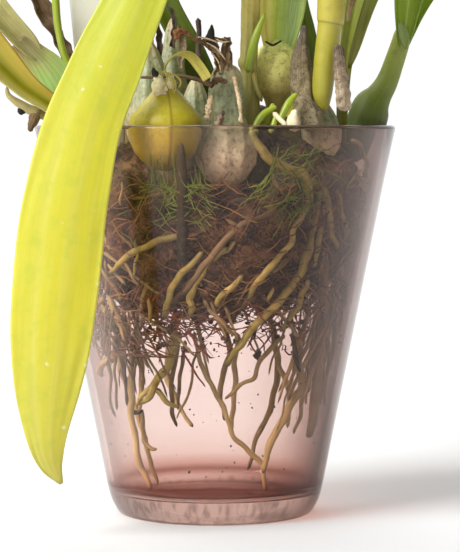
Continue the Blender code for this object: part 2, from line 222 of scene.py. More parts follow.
@dataclass(frozen=True)
class Tissue:
    """Plant tissue, living or dried: a waxy or papery skin whose colour changes from foot to tip.

    Fine lines run along it, cells mottle it, and it may carry specks. Sizes are in millimetres.
    """

    name: str
    along: Stops
    across: Stops = ()
    across_share: float = 0.0
    vein: float = 0.0
    vein_mm: float = 0.8
    vein_code: str = "#f0f0b0"
    mottle: float = 0.25
    mottle_mm: float = 5.0
    mottle_code: str = "#3a3010"
    speck: float = 0.0
    speck_mm: float = 0.5
    speck_every_mm: float = 2.0
    speck_code: str = "#3a2a14"
    roughness: float = 0.45
    wax: float = 0.0
    bump_mm: float = 0.05
    bump_every_mm: float = 1.2
    glow: float = 0.0

    def build(self) -> bpy.types.Material:
        """Make the material.

        Returns:
            The finished material.
        """
        material, tree, output = new_material(self.name)
        share = add_node(tree, "SeparateXYZ", vector=add_node(tree, "UVMap", {"uv_map": "Share"}).outputs[0])
        place = add_node(tree, "TexCoord").outputs["Object"]
        colour = ramp(tree, share.outputs["X"], self.along)
        if self.across:
            colour = blend(tree, self.across_share, colour, ramp(tree, share.outputs["Y"], self.across))
        height = None
        if self.vein:
            grain = add_node(tree, "UVMap", {"uv_map": "Grain"}).outputs[0]
            fine = add_node(tree, "Mapping", vector=grain, scale=(0.4 / self.vein_mm, 10 / self.vein_mm, 1.0))
            lines = add_node(tree, "TexNoise", vector=fine.outputs[0], scale=1.0, detail=3.0, roughness=0.6)
            height = lines.outputs["Fac"]
            colour = blend(tree, spread(tree, height, 0.42, 0.68, self.vein), colour, linear(self.vein_code))
        cells = cloud(tree, place, self.mottle_mm, 4.0, roughness=0.6)
        colour = blend(tree, spread(tree, cells, 0.45, 0.75, self.mottle), colour, linear(self.mottle_code))
        if self.speck:
            # Noise pushes the specks' edges about, so that none is round, and only some cells keep theirs.
            stir = add_node(tree, "TexNoise", vector=place, scale=1 / (self.speck_mm * 1.6 * MM), detail=2.0)
            push = add_node(tree, "VectorMath", {"operation": "SCALE"}, vector=stir.outputs["Color"],
                            scale=self.speck_mm * 1.7 * MM).outputs[0]
            moved = add_node(tree, "VectorMath", in0=place, in1=push).outputs[0]
            spots = add_node(tree, "TexVoronoi", vector=moved, scale=1 / (self.speck_every_mm * MM))
            radius = self.speck_mm / self.speck_every_mm
            dots = spread(tree, spots.outputs["Distance"], radius, radius * 0.45)
            chosen = add_node(tree, "SeparateXYZ", vector=spots.outputs["Color"]).outputs["X"]
            kept = spread(tree, chosen, 0.45, 0.75, self.speck)
            colour = blend(tree, reckon(tree, "MULTIPLY", dots, kept), colour, linear(self.speck_code))
        relief = cloud(tree, place, self.bump_every_mm)
        if height is not None:
            relief = reckon(tree, "ADD", relief, height)
        bump = add_node(tree, "Bump", height=relief, distance=self.bump_mm * MM, strength=1.0)
        skin = add_node(tree, "BsdfPrincipled", base_color=colour, roughness=self.roughness,
                        coat_weight=self.wax, coat_roughness=0.3, normal=bump.outputs[0])
        surface = skin.outputs[0]
        if self.glow:
            through = add_node(tree, "BsdfTranslucent", color=colour, normal=bump.outputs[0])
            surface = add_node(tree, "MixShader", in0=self.glow, in1=surface,
                               in2=through.outputs[0]).outputs[0]
        tree.links.new(surface, output.inputs["Surface"])
        return material


@dataclass(frozen=True)
class FibrousMedium:
    """Rotted bark and dead root: matted brown fibres, with painted light where they lie proud and painted
    shade in the hollows.
    """

    name: str
    stops: Stops
    clump_mm: float = 7.0
    fibre_mm: float = 4.4
    fibre_share: float = 0.62
    relief_mm: float = 1.6
    tuft_mm: float = 11.0
    green_code: str = "#56601f"
    green_from_mm: float = 104.0
    green_full_mm: float = 124.0
    green_share: float = 0.5

    def build(self) -> bpy.types.Material:
        """Make the material.

        Returns:
            The finished material.
        """
        material, tree, output = new_material(self.name)
        place = add_node(tree, "TexCoord").outputs["Object"]
        clumps = cloud(tree, place, self.clump_mm)
        fibres = cloud(tree, place, self.fibre_mm, 5.0, roughness=0.7, distortion=3.5)
        relief_and_painted_shade = add_node(tree, "Mix", in0=self.fibre_share, in2=clumps, in3=fibres).outputs[0]
        # Painted light and shade: the colour follows the relief, dark in the hollows and light where fibres
        # lie proud.
        colour = ramp(tree, spread(tree, relief_and_painted_shade, 0.33, 0.68), self.stops)
        height = add_node(tree, "SeparateXYZ", vector=place).outputs["Z"]
        high = spread(tree, height, self.green_from_mm * MM, self.green_full_mm * MM, self.green_share)
        tufts = spread(tree, cloud(tree, place, self.tuft_mm, 4.0), 0.48, 0.66)
        colour = blend(tree, reckon(tree, "MULTIPLY", high, tufts), colour, linear(self.green_code))
        bump = add_node(tree, "Bump", height=relief_and_painted_shade, distance=self.relief_mm * MM, strength=1.0)
        skin = add_node(tree, "BsdfPrincipled", base_color=colour, roughness=0.88, normal=bump.outputs[0])
        tree.links.new(skin.outputs[0], output.inputs["Surface"])
        return material


@dataclass(frozen=True)
class TintedGlass:
    """Soda-lime glass with a mauve tint: clear seen straight through, dark where the sight line grazes it.

    It is darker towards its right side, which is painted shade. Its heel has a painted dark band of shade
    over upright streaks of painted reflection. A thin film of dust and dried water lies on it, thicker in
    smudges.
    """

    name: str = "mauve_soda_lime_glass"
    skin: Stops = ((0.05, "#f8eae6"), (0.3, "#e8d6d0"), (0.5, "#c0a7a0"), (0.75, "#86706b"), (1.0, "#5f4c49"))
    # Painted shade: a dark band across the heel, where light runs long through the thick floor.
    heel: Stops = ((0.0, "#f0ebe8"), (0.22, "#eae2de"), (0.29, "#c9a69d"), (0.35, "#a0746a"),
                   (0.43, "#d6b6ae"), (0.6, "#f4e8e4"), (1.0, "#ffffff"))
    # Painted reflection: the colour of dark upright streaks low on the heel.
    painted_reflection_code: str = "#7a645e"
    clear_code: str = "#f6e9e5"
    depth_code: str = "#d9b09a"
    depth_per_m: float = 13.0
    # Painted shade: how much darker the tint grows towards the pot's right side, between the two places
    # below.
    shade: float = 0.28
    painted_shade_from_mm: float = -38.0
    painted_shade_to_mm: float = 44.0
    heel_mm: float = 30.0
    # Painted reflection: the upright streaks' strength, spacing, stretch and the heights where they fade in.
    painted_reflection: float = 0.75
    painted_reflection_mm: float = 2.6
    painted_reflection_stretch: float = 0.03
    painted_reflection_top_mm: float = 9.5
    painted_reflection_full_mm: float = 7.0
    film: float = 0.022
    smudge_mm: float = 16.0
    grazing_from: float = 0.22
    grazing_pass: float = 0.62
    ior: float = 1.5
    gleam: float = 0.35

    def build(self) -> bpy.types.Material:
        """Make the material.

        Returns:
            The finished material.
        """
        material, tree, output = new_material(self.name)
        place = add_node(tree, "TexCoord").outputs["Object"]
        slant = add_node(tree, "LayerWeight", blend=0.5).outputs["Facing"]
        spot = add_node(tree, "SeparateXYZ", vector=place)
        # Painted shade: the tint darkens towards the pot's right side, where less light falls.
        side = spread(tree, spot.outputs["X"], self.painted_shade_from_mm * MM, self.painted_shade_to_mm * MM, self.shade)
        slant_and_painted_shade = reckon(tree, "SUBTRACT", reckon(tree, "ADD", slant, side), self.shade / 2)
        # Painted shade: the dark band across the heel.
        heel = ramp(tree, spread(tree, spot.outputs["Z"], 0.0, self.heel_mm * MM), self.heel)
        tint = blend(tree, 1.0, ramp(tree, slant_and_painted_shade, self.skin), heel, "MULTIPLY")
        # Painted reflection: dark upright streaks low on the heel.
        upright = add_node(tree, "VectorMath", {"operation": "MULTIPLY"}, in0=place,
                           in1=(1.0, 1.0, self.painted_reflection_stretch)).outputs[0]
        painted_reflections = spread(tree, cloud(tree, upright, self.painted_reflection_mm), 0.44, 0.66, self.painted_reflection)
        low = spread(tree, spot.outputs["Z"], self.painted_reflection_top_mm * MM, self.painted_reflection_full_mm * MM)
        tint = blend(tree, reckon(tree, "MULTIPLY", low, painted_reflections), tint, linear(self.painted_reflection_code))
        dust = spread(tree, cloud(tree, place, self.smudge_mm, 6.0, roughness=0.7), 0.45, 0.8, self.film)
        grazing = add_node(tree, "MapRange", value=slant, from_min=self.grazing_from, to_min=1.0,
                           to_max=self.grazing_pass).outputs[0]
        passed = reckon(tree, "SUBTRACT", grazing, dust)
        glass = add_node(tree, "BsdfPrincipled", base_color=tint, roughness=0.0, ior=self.ior,
                         specular_tint=(self.gleam, self.gleam, self.gleam, 1.0),
                         transmission_weight=passed)
        clear = add_node(tree, "BsdfTransparent", color=linear(self.clear_code))
        rays = add_node(tree, "LightPath").outputs["Is Shadow Ray"]
        mixed = add_node(tree, "MixShader", in0=rays, in1=glass.outputs[0], in2=clear.outputs[0])
        tree.links.new(mixed.outputs[0], output.inputs["Surface"])
        depth = add_node(tree, "VolumeAbsorption", color=linear(self.depth_code), density=self.depth_per_m)
        tree.links.new(depth.outputs[0], output.inputs["Volume"])
        return material


@dataclass(frozen=True)
class Plain:
    """A plain surface with a faint cloudiness: moulded plastic or a painted studio sweep."""

    name: str
    code: str
    roughness: float = 0.5
    cloud: float = 0.0
    cloud_mm: float = 30.0
    cloud_code: str = "#6b6455"

    def build(self) -> bpy.types.Material:
        """Make the material.

        Returns:
            The finished material.
        """
        material, tree, output = new_material(self.name)
        place = add_node(tree, "TexCoord").outputs["Object"]
        shade = spread(tree, cloud(tree, place, self.cloud_mm, 4.0), 0.4, 0.8, self.cloud)
        colour = blend(tree, shade, linear(self.code), linear(self.cloud_code))
        skin = add_node(tree, "BsdfPrincipled", base_color=colour, roughness=self.roughness)
        tree.links.new(skin.outputs[0], output.inputs["Surface"])
        return material


Finish = Tissue | FibrousMedium | TintedGlass | Plain


class Finishes:
    """The plant's finishes by name, each made once."""

    def __init__(self) -> None:
        """Start with none made."""
        self._made: dict[str, bpy.types.Material] = {}

    def get(self, finish: Finish) -> bpy.types.Material:
        """Return a finish's material, made when first asked for."""
        if finish.name not in self._made:
            self._made[finish.name] = finish.build()
        return self._made[finish.name]


FINISHES = Finishes()

LEAF_FRONT = Tissue(
    "leaf_yellow_green",
    ((0.0, "#9fbb3c"), (0.3, "#b0c640"), (0.42, "#bfce4a"), (0.56, "#d8d63e"), (0.8, "#e4da3c"),
     (0.94, "#dad25c"), (1.0, "#c8b878")),
    across=((0.0, "#e6de68"), (0.04, "#dad443"), (0.2, "#dedc58"), (0.3, "#e6e274"), (0.36, "#dcd742"),
            (0.5, "#e2db40"), (0.62, "#e6df5c"), (0.72, "#dcd42c"), (0.93, "#ded63c"), (1.0, "#e8e068")),
    across_share=0.5, vein=0.16, vein_mm=1.3, vein_code="#ebe886", mottle=0.45, mottle_mm=4.5,
    mottle_code="#c6d04a", speck=0.8, speck_mm=0.8, speck_every_mm=6.0, speck_code="#f2f2c8",
    roughness=0.42, glow=0.3, bump_mm=0.03)
LEAF_BROAD = Tissue(
    "leaf_striped_green", ((0.0, "#c2cf61"), (0.2, "#b4c757"), (0.5, "#9bb645"), (1.0, "#81a439")),
    across=((0.0, "#cdb652"), (0.08, "#f5e482"), (0.16, "#cdc554"), (0.24, "#faf191"), (0.32, "#dbe066"),
            (0.42, "#c6d85a"), (0.55, "#aecc5c"), (0.66, "#89a65f"), (0.85, "#819f5f"), (1.0, "#a8c061")),
    across_share=0.85, vein=0.3, vein_mm=0.9, vein_code="#fafaa0", mottle=0.15, roughness=0.42, glow=0.25)
LEAF_KHAKI = Tissue(
    "leaf_khaki", ((0.0, "#b8a34a"), (0.3, "#a5a443"), (0.7, "#8a9a3a"), (1.0, "#7c8f33")), vein=0.35,
    vein_code="#d2c578", roughness=0.45, glow=0.22)
# Its colours are the leaf's own dark olive, darkened further by painted shade.
LEAF_DARK_WITH_PAINTED_SHADE = Tissue(
    "leaf_dark_green", ((0.0, "#3f4a12"), (0.3, "#596a12"), (0.6, "#5f7418"), (1.0, "#4f6a1e")), vein=0.15,
    vein_code="#7d8c3c", roughness=0.42, glow=0.25)
LEAF_FRESH = Tissue(
    "leaf_bright_green", ((0.0, "#8a9c2a"), (0.2, "#8da51c"), (0.6, "#86a824"), (1.0, "#8ca834")),
    across=((0.0, "#86a01a"), (0.44, "#90ac22"), (0.5, "#cbd488"), (0.56, "#94ac34"), (1.0, "#88a42c")),
    across_share=0.6, vein=0.2, vein_code="#b9cc60", mottle=0.1, roughness=0.4, glow=0.35)
LEAF_VEE = Tissue(
    "leaf_olive_green", ((0.0, "#6f6c22"), (0.3, "#939c32"), (0.6, "#98a83a"), (1.0, "#8aa638")), vein=0.2,
    vein_code="#c2ca6c", mottle=0.12, roughness=0.42, glow=0.3)
LEAF_YELLOW = Tissue(
    "leaf_old_yellow", ((0.0, "#9c9120"), (0.2, "#b7ab35"), (0.6, "#c6c048"), (1.0, "#b9b654")),
    across=((0.0, "#e2d88c"), (0.2, "#d6cc66"), (0.38, "#a8a41c"), (0.5, "#8f8c08"), (0.6, "#a9a41a"),
            (0.72, "#cdbb44"), (0.93, "#d9c04a"), (1.0, "#b8873a")),
    across_share=0.85, vein=0.12, vein_code="#e6dc88", mottle=0.12, roughness=0.42, glow=0.25)
LEAF_PALE = Tissue(
    "leaf_pale_khaki", ((0.0, "#c9c184"), (0.3, "#b6b166"), (1.0, "#a4aa54")), vein=0.45, vein_mm=1.2,
    vein_code="#e6dfae", roughness=0.5, glow=0.22)
SHEATH_LEFT = Tissue(
    "sheath_ribbed_green",
    ((0.0, "#a8bf78"), (0.45, "#bfdc90"), (0.6, "#cdee9c"), (0.76, "#d6de98"), (0.9, "#cbbe8a"),
     (1.0, "#a8946a")),
    vein=0.55, vein_mm=2.0, vein_code="#ece9be", mottle=0.05, roughness=0.5, bump_mm=0.1, glow=0.45)
BULB_YELLOW_PAINTED_LIGHT_AND_SHADE = Tissue(
    "bulb_yellow_green",
    ((0.0, "#94822f"), (0.35, "#aa9a28"), (0.55, "#c4b52c"), (0.8, "#cfbe38"), (1.0, "#bba548")),
    # Round the bulb: painted light on its left side and painted shade on its right; the brown seam near the
    # front is its own.
    across=((0.0, "#c0b12a"), (0.018, "#bbad28"), (0.026, "#6a4914"), (0.032, "#765118"), (0.04, "#b2a528"),
            (0.12, "#9f9320"), (0.3, "#817814"), (0.7, "#9f9320"), (0.85, "#d9c93c"), (1.0, "#c9ba2f")),
    across_share=0.6, vein=0.12, vein_mm=2.2, vein_code="#8c821c", mottle=0.35, mottle_mm=3.0,
    mottle_code="#7c7216", speck=0.5, speck_mm=0.35, speck_every_mm=1.6, speck_code="#6a6018",
    roughness=0.4, wax=0.15, bump_mm=0.14)
BULB_GREY = Tissue(
    "bulb_grey_green",
    ((0.0, "#ab946d"), (0.22, "#dfcdad"), (0.36, "#c7b793"), (0.5, "#979671"), (0.7, "#8b946f"),
     (0.86, "#a39a74"), (0.95, "#bca480"), (1.0, "#a38863")),
    vein=0.5, vein_mm=2.6, vein_code="#c0c09b", mottle=0.75, mottle_mm=1.6, mottle_code="#5d6646",
    speck=0.55, speck_mm=0.3, speck_every_mm=1.0, speck_code="#4a4327", roughness=0.5, bump_mm=0.35)
BULB_SPECKLED = Tissue(
    "bulb_speckled",
    ((0.0, "#7d6a39"), (0.45, "#a39250"), (0.58, "#d2c472"), (0.8, "#eeeb86"), (1.0, "#dbef90")),
    mottle=0.65, mottle_mm=1.9, mottle_code="#8d8045", speck=0.65, speck_mm=0.27, speck_every_mm=0.75,
    speck_code="#614e25", roughness=0.48, bump_mm=0.16)
STEM_KHAKI = Tissue(
    "stem_khaki", ((0.0, "#6f6a30"), (0.3, "#8a8440"), (0.6, "#a79c50"), (1.0, "#c0aa4a")), vein=0.45,
    vein_mm=1.4, vein_code="#bfb676", mottle=0.2, roughness=0.48)
STEM_YELLOW = Tissue(
    "stem_yellow",
    ((0.0, "#9d9731"), (0.35, "#a49b2e"), (0.478, "#a79c37"), (0.486, "#82772e"), (0.494, "#b3a641"),
     (0.8, "#a29737"), (1.0, "#989235")),
    vein=0.15, vein_code="#858231", mottle=0.3, mottle_mm=4.0, mottle_code="#7d7c27", speck=0.4,
    speck_mm=0.3, speck_every_mm=1.8, speck_code="#635f20", roughness=0.42, wax=0.1)
PETIOLE = Tissue(
    "petiole_green",
    ((0.0, "#3f500e"), (0.3, "#495b14"), (0.5, "#667222"), (0.75, "#828b31"), (1.0, "#989f3f")), vein=0.15,
    vein_mm=1.4, vein_code="#8fa348", mottle=0.35, mottle_mm=6.0, mottle_code="#37480b", speck=0.4,
    speck_mm=0.3, speck_every_mm=1.6, speck_code="#474816", roughness=0.55, wax=0.0)
SHOOT_GREEN = Tissue(
    "shoot_green", ((0.0, "#7f8f12"), (0.6, "#93a51c"), (1.0, "#a3b430")), vein=0.1, mottle=0.15,
    mottle_code="#5b6a0a", roughness=0.38, wax=0.15)
BRACT = Tissue(
    "bract_blue_green", ((0.0, "#94a456"), (1.0, "#9cb06c")), vein=0.25, vein_code="#a9b684", roughness=0.5,
    mottle=0.1, glow=0.3)
PAPERY = Tissue(
    "sheath_papery",
    ((0.0, "#9a9c76"), (0.14, "#8f8566"), (0.45, "#8a7a58"), (0.7, "#6e5f46"), (1.0, "#5a5044")), vein=0.4,
    vein_mm=1.0, vein_code="#b3a27e", mottle=0.7, mottle_mm=1.6, mottle_code="#3c3020", speck=0.9,
    speck_mm=0.32, speck_every_mm=0.7, speck_code="#2c2014", roughness=0.8, bump_mm=0.3)
PAPERY_LIGHT = Tissue(
    "sheath_papery_light", ((0.0, "#d6c6a4"), (0.15, "#a8947a"), (0.6, "#86705a"), (1.0, "#3c2c20")),
    vein=0.5, vein_mm=0.9, vein_code="#c2b090", mottle=0.7, mottle_mm=1.6, mottle_code="#34241a", speck=0.7,
    speck_mm=0.3, speck_every_mm=0.8, speck_code="#2a1e16", roughness=0.8, bump_mm=0.3)
DRY_BROWN = Tissue(
    "dry_brown", ((0.0, "#4e3a22"), (0.6, "#5a442c"), (1.0, "#6a5236")), vein=0.4, vein_mm=1.0,
    vein_code="#8c7250", mottle=0.4, mottle_mm=3.0, mottle_code="#2a1c10", roughness=0.8, bump_mm=0.2)
DRY_HUSK = Tissue(
    "dry_husk", ((0.0, "#a08860"), (0.5, "#7c6040"), (1.0, "#4f3c28")), vein=0.5, vein_mm=0.7,
    vein_code="#c2aa80", mottle=0.5, mottle_mm=2.5, mottle_code="#3c2a18", roughness=0.8, bump_mm=0.2)
DRY_STRAW = Tissue(
    "dry_straw", ((0.0, "#b5a648"), (0.5, "#d8ca5c"), (1.0, "#dccf68")), vein=0.6, vein_mm=0.55,
    vein_code="#a8953c", mottle=0.3, mottle_mm=2.5, mottle_code="#8f7a40", roughness=0.65, glow=0.15)
DRY_CREAM = Tissue(
    "dry_cream", ((0.0, "#d5c195"), (0.5, "#f4e5b8"), (1.0, "#faf2cb")), vein=0.3, vein_mm=0.6,
    vein_code="#fafaee", mottle=0.3, mottle_mm=1.5, mottle_code="#a38d5f", roughness=0.7)
DRY_BUFF = Tissue(
    "dry_buff", ((0.0, "#c4aa80"), (0.5, "#dcc49c"), (1.0, "#b8986c")), vein=0.3, vein_mm=0.6,
    vein_code="#f0dfba", mottle=0.8, mottle_mm=1.2, mottle_code="#7a5636", roughness=0.75, bump_mm=0.15)
DRY_RUST = Tissue(
    "dry_rust", ((0.0, "#604b33"), (0.5, "#704d30"), (1.0, "#8c532a")), vein=0.4, vein_mm=0.6,
    vein_code="#9e724c", mottle=0.4, mottle_mm=1.5, mottle_code="#432513", roughness=0.75, bump_mm=0.15)
CHAR = Tissue("dry_black", ((0.0, "#1c1813"), (1.0, "#14110e")), mottle=0.2, roughness=0.7)
CHAR_BROWN = Tissue(
    "dry_dark_brown", ((0.0, "#5c4a3c"), (0.5, "#43342a"), (1.0, "#33271f")), vein=0.4, vein_mm=0.8,
    vein_code="#7a6450", mottle=0.4, mottle_mm=2.0, mottle_code="#1c140e", roughness=0.75, bump_mm=0.2)
ROOT_OLIVE = Tissue(
    "root_olive",
    ((0.0, "#77713b"), (0.3, "#a59d4c"), (0.55, "#afa552"), (0.9, "#9a9440"), (1.0, "#403c1b")), mottle=0.6,
    mottle_mm=3.0, mottle_code="#69582c", vein=0.2, roughness=0.55, bump_mm=0.1)
ROOT_TAN = Tissue(
    "root_tan", ((0.0, "#7c6c40"), (0.5, "#9c8a58"), (0.9, "#a08e58"), (1.0, "#5c4c2c")), mottle=0.35,
    mottle_mm=5.0, mottle_code="#7a6040", vein=0.15, roughness=0.6, bump_mm=0.1)
ROOT_PALE = Tissue(
    "root_pale", ((0.0, "#968a58"), (0.5, "#bcae76"), (0.95, "#bcac74"), (1.0, "#6e6240")), mottle=0.25,
    mottle_mm=5.0, mottle_code="#93794e", roughness=0.6, bump_mm=0.1)
ROOT_DARK = Tissue(
    "root_dark", ((0.0, "#3f3915"), (0.5, "#302912"), (1.0, "#1e170c")), mottle=0.5, mottle_mm=2.5,
    mottle_code="#574d1c", roughness=0.7, bump_mm=0.15)
ROOT_BROWN = Tissue(
    "root_brown", ((0.0, "#5c4e30"), (0.6, "#7f7048"), (1.0, "#4e402c")), mottle=0.3, mottle_mm=4.0,
    mottle_code="#6a4c3c", roughness=0.6, bump_mm=0.1)
FIBRE_BROWN = Tissue(
    "fibre_brown", ((0.0, "#503620"), (0.5, "#775434"), (1.0, "#503620")), mottle=0.5, mottle_mm=6.0,
    mottle_code="#20150a", roughness=0.85, bump_mm=0.02)
FIBRE_RED = Tissue(
    "fibre_red_brown", ((0.0, "#6c3318"), (0.5, "#944a25"), (1.0, "#6c3318")), mottle=0.3, mottle_mm=5.0,
    mottle_code="#451f0e", roughness=0.85, bump_mm=0.02)
MOSS = Tissue(
    "moss_green", ((0.0, "#4c5f18"), (0.5, "#6f8a26"), (1.0, "#93ac3c")), mottle=0.3, mottle_mm=4.0,
    mottle_code="#28300c", roughness=0.8, bump_mm=0.02)
MEDIUM = FibrousMedium(
    "bark_medium",
    ((0.0, "#1c1209"), (0.3, "#3c2a1a"), (0.55, "#5d442c"), (0.8, "#7b603c"), (1.0, "#8a704b")))
FIBRE_TAN = Tissue(
    "fibre_tan", ((0.0, "#7a5e37"), (0.5, "#a4844e"), (1.0, "#7a5e37")), mottle=0.4, mottle_mm=6.0,
    mottle_code="#53391d", roughness=0.85, bump_mm=0.02)
LABEL_PLASTIC = Plain("label_polystyrene", "#e2dfd0", roughness=0.45, cloud=0.1)
SWEEP_PAPER = Plain("studio_paper", "#dbdbda", roughness=0.9)


# ---------------------------------------------------------------- geometry


@dataclass(frozen=True)
class Station:
    """A place on a route, with its directions and the piece's size there."""

    spot: Vector
    ahead: Vector
    side: Vector
    up: Vector
    size: float
    travelled: float


class Route:
    """A smooth line through points of x, y, z and size."""

    STEPS_PER_SPAN = 12

    def __init__(self, points: Sequence[Point], across: tuple[Point, Point] | None = None) -> None:
        """Lay the line.

        Args:
            points: x, y, z and size of each point, in millimetres.
            across: the direction of a blade's width at its foot and at its tip, or None for a round piece.
        """
        self._fine = self._smooth([Vector(p) for p in points])
        self._lengths = [0.0]
        for a, b in zip(self._fine, self._fine[1:]):
            self._lengths.append(self._lengths[-1] + (b - a).to_3d().length)
        self.length = self._lengths[-1]
        self._across = across

    def _smooth(self, points: list[Vector]) -> list[Vector]:
        """Read a Catmull-Rom curve through the points.

        Args:
            points: x, y, z and size of each point.

        Returns:
            The curve's own points, close together.
        """
        route = [2 * points[0] - points[1], *points, 2 * points[-1] - points[-2]]
        result = []
        for before, start, end, after in zip(route, route[1:], route[2:], route[3:]):
            slope = end - before
            bend = 2 * before - 5 * start + 4 * end - after
            twist = 3 * start - before - 3 * end + after
            for step in range(self.STEPS_PER_SPAN):
                t = step / self.STEPS_PER_SPAN
                result.append(0.5 * (2 * start + slope * t + bend * t * t + twist * t * t * t))
        result.append(points[-1])
        return result

    def _read(self, travelled: float) -> Vector:
        """Find the point at a distance from the foot.

        Args:
            travelled: the distance along the route, in millimetres.

        Returns:
            The point's x, y, z and size.
        """
        low, high = 0, len(self._lengths) - 1
        while high - low > 1:
            middle = (low + high) // 2
            low, high = (middle, high) if self._lengths[middle] <= travelled else (low, middle)
        run = self._lengths[high] - self._lengths[low]
        share = (travelled - self._lengths[low]) / run if run else 0.0
        return self._fine[low].lerp(self._fine[high], min(max(share, 0.0), 1.0))

    def stations(self, count: int) -> list[Station]:
        """Divide the route evenly.

        Args:
            count: how many stretches.

        Returns:
            One station more than stretches, from foot to tip.
        """
        spots = [self._read(self.length * i / count) for i in range(count + 1)]
        result = []
        side = None
        for i, spot in enumerate(spots):
            ahead = (spots[min(i + 1, count)] - spots[max(i - 1, 0)]).to_3d().normalized()
            if self._across:
                wanted = Vector(self._across[0]).lerp(Vector(self._across[1]), i / count)
            else:
                wanted = side or ahead.orthogonal()
            side = (wanted - ahead * wanted.dot(ahead)).normalized()
            result.append(Station(spot.to_3d(), ahead, side, side.cross(ahead), spot[3],
                                  self.length * i / count))
        return result


class Skin:
    """A mesh under construction, made of grids wrapped onto surfaces."""

    def __init__(self) -> None:
        """Start an empty mesh with its two pattern maps."""
        self._mesh = bmesh.new()
        self._share = self._mesh.loops.layers.uv.new("Share")
        self._grain = self._mesh.loops.layers.uv.new("Grain")

    def wrap(self, along: int, around: int, surface: Surface, size: tuple[float, float],
             closed: bool) -> None:
        """Wrap a grid onto a surface.

        Args:
            along: stretches from foot to tip.
            around: stretches over the width or round the girth.
            surface: gives the point, in millimetres, at shares along and around from 0 to 1.
            size: the length and width in millimetres, for patterns at their real scale.
            closed: join the two long edges and the poles.
        """
        verts = bmesh.ops.create_grid(self._mesh, x_segments=along, y_segments=around, size=0.5)["verts"]
        shares = {v: (min(max(v.co.x + 0.5, 0.0), 1.0), min(max(v.co.y + 0.5, 0.0), 1.0)) for v in verts}
        for face in {f for v in verts for f in v.link_faces}:
            face.smooth = True
            for loop in face.loops:
                u, v = shares[loop.vert]
                loop[self._share].uv = (u, v)
                loop[self._grain].uv = (u * size[0] / 10, v * size[1] / 10)
        for vert, (u, v) in shares.items():
            vert.co = surface(u, v) * MM
        if closed:
            bmesh.ops.remove_doubles(self._mesh, verts=verts, dist=0.002 * MM)

    def object(self, name: str, finish: Finish, wall_mm: float = 0.0) -> bpy.types.Object:
        """Write the mesh as an object.

        Args:
            name: the object's name.
            finish: its finish.
            wall_mm: the thickness to give an open surface, or 0 for a closed one.

        Returns:
            The new object, with its place in its mesh.
        """
        bmesh.ops.recalc_face_normals(self._mesh, faces=self._mesh.faces)
        data = bpy.data.meshes.new(name)
        self._mesh.to_mesh(data)
        self._mesh.free()
        data.materials.append(FINISHES.get(finish))
        piece = bpy.data.objects.new(name, data)
        bpy.context.scene.collection.objects.link(piece)
        if wall_mm:
            wall = piece.modifiers.new("thickness", "SOLIDIFY")
            wall.thickness = wall_mm * MM
            wall.offset = 0.0
        return piece


def own_node(name: str) -> tuple[str, ...]:
    """The frame's node with a piece's own name, if there is one."""
    return (name,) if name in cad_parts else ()


def settle(piece: bpy.types.Object, slot: str, *nodes: str) -> bpy.types.Object:
    """Fix a finished piece to the frame.

    Args:
        piece: the piece.
        slot: the record's material slot, which is not used.
        nodes: the frame's nodes that it stands for.

    Returns:
        The same piece.
    """
    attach(piece, BODY)
    if nodes:
        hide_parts(*nodes)
    LOG.info("%s: %d faces, stands for %s", piece.name, len(piece.data.polygons),
             ", ".join(nodes) or "nothing")
    return piece


def rough(spot: Vector, every: float, seed: float = 0.0) -> float:
    """Smooth noise from about -1 to 1 at a place, with features this many millimetres apart."""
    return noise.noise(spot / every + Vector((seed, 3.1 * seed, -1.7 * seed)))


def rounded_end(from_end: float, radius: float) -> float:
    """The share of its radius that a round-ended rod has this far from its end."""
    reach = min(from_end / max(radius, 0.01), 1.0)
    return math.sqrt(max(1 - (1 - reach) ** 2, 0.0))


@dataclass
class Rod:
    """A round piece along a route: a stem, a root or a thin bulb."""

    name: str
    slot: str
    finish: Tissue
    points: Sequence[Point]
    around: int = 12
    step_mm: float = 1.0
    ribs: int = 0
    rib_depth: float = 0.0
    lump: float = 0.06
    lump_mm: float = 4.0
    wander: float = 0.0
    wander_mm: float = 12.0
    flat: float = 1.0
    swell: float = 1.0
    seed: float = 0.0

    def wrap_on(self, skin: Skin) -> None:
        """Add the rod to a mesh.

        Args:
            skin: the mesh under construction.
        """
        route = Route(self.points)
        count = max(int(route.length / self.step_mm), 4)
        stations = route.stations(count)

        def surface(u: float, v: float) -> Vector:
            """The rod's surface.

            Args:
                u: the share of its length.
                v: the share of its girth.

            Returns:
                The point, in millimetres.
            """
            station = stations[round(u * count)]
            angle = 2 * math.pi * v
            from_end = min(station.travelled, route.length - station.travelled)
            radius = self.swell * station.size * rounded_end(from_end, station.size)
            bends = [rough(station.spot, self.wander_mm, self.seed + k) for k in (1, 5, 9)]
            centre = station.spot + Vector(bends) * self.wander
            out = station.side * math.cos(angle) + station.up * math.sin(angle) * self.flat
            spot = centre + out * radius
            ribs = self.rib_depth * math.cos(self.ribs * angle)
            radius *= 1 + ribs + self.lump * rough(spot, self.lump_mm, self.seed)
            return centre + out * radius

        girth = 2 * math.pi * max(s.size for s in stations)
        skin.wrap(count, self.around, surface, (route.length, girth), closed=True)

    def build(self) -> bpy.types.Object:
        """Make the piece and fix it to the frame.

        Returns:
            The new object.
        """
        skin = Skin()
        self.wrap_on(skin)
        return settle(skin.object(self.name, self.finish), self.slot, *own_node(self.name))


# How softly a fold turns at a blade's middle line, and how far that lies under the fold's straight sides.
MIDRIB_ROUNDING, MIDRIB_DROP = 0.02, 0.14


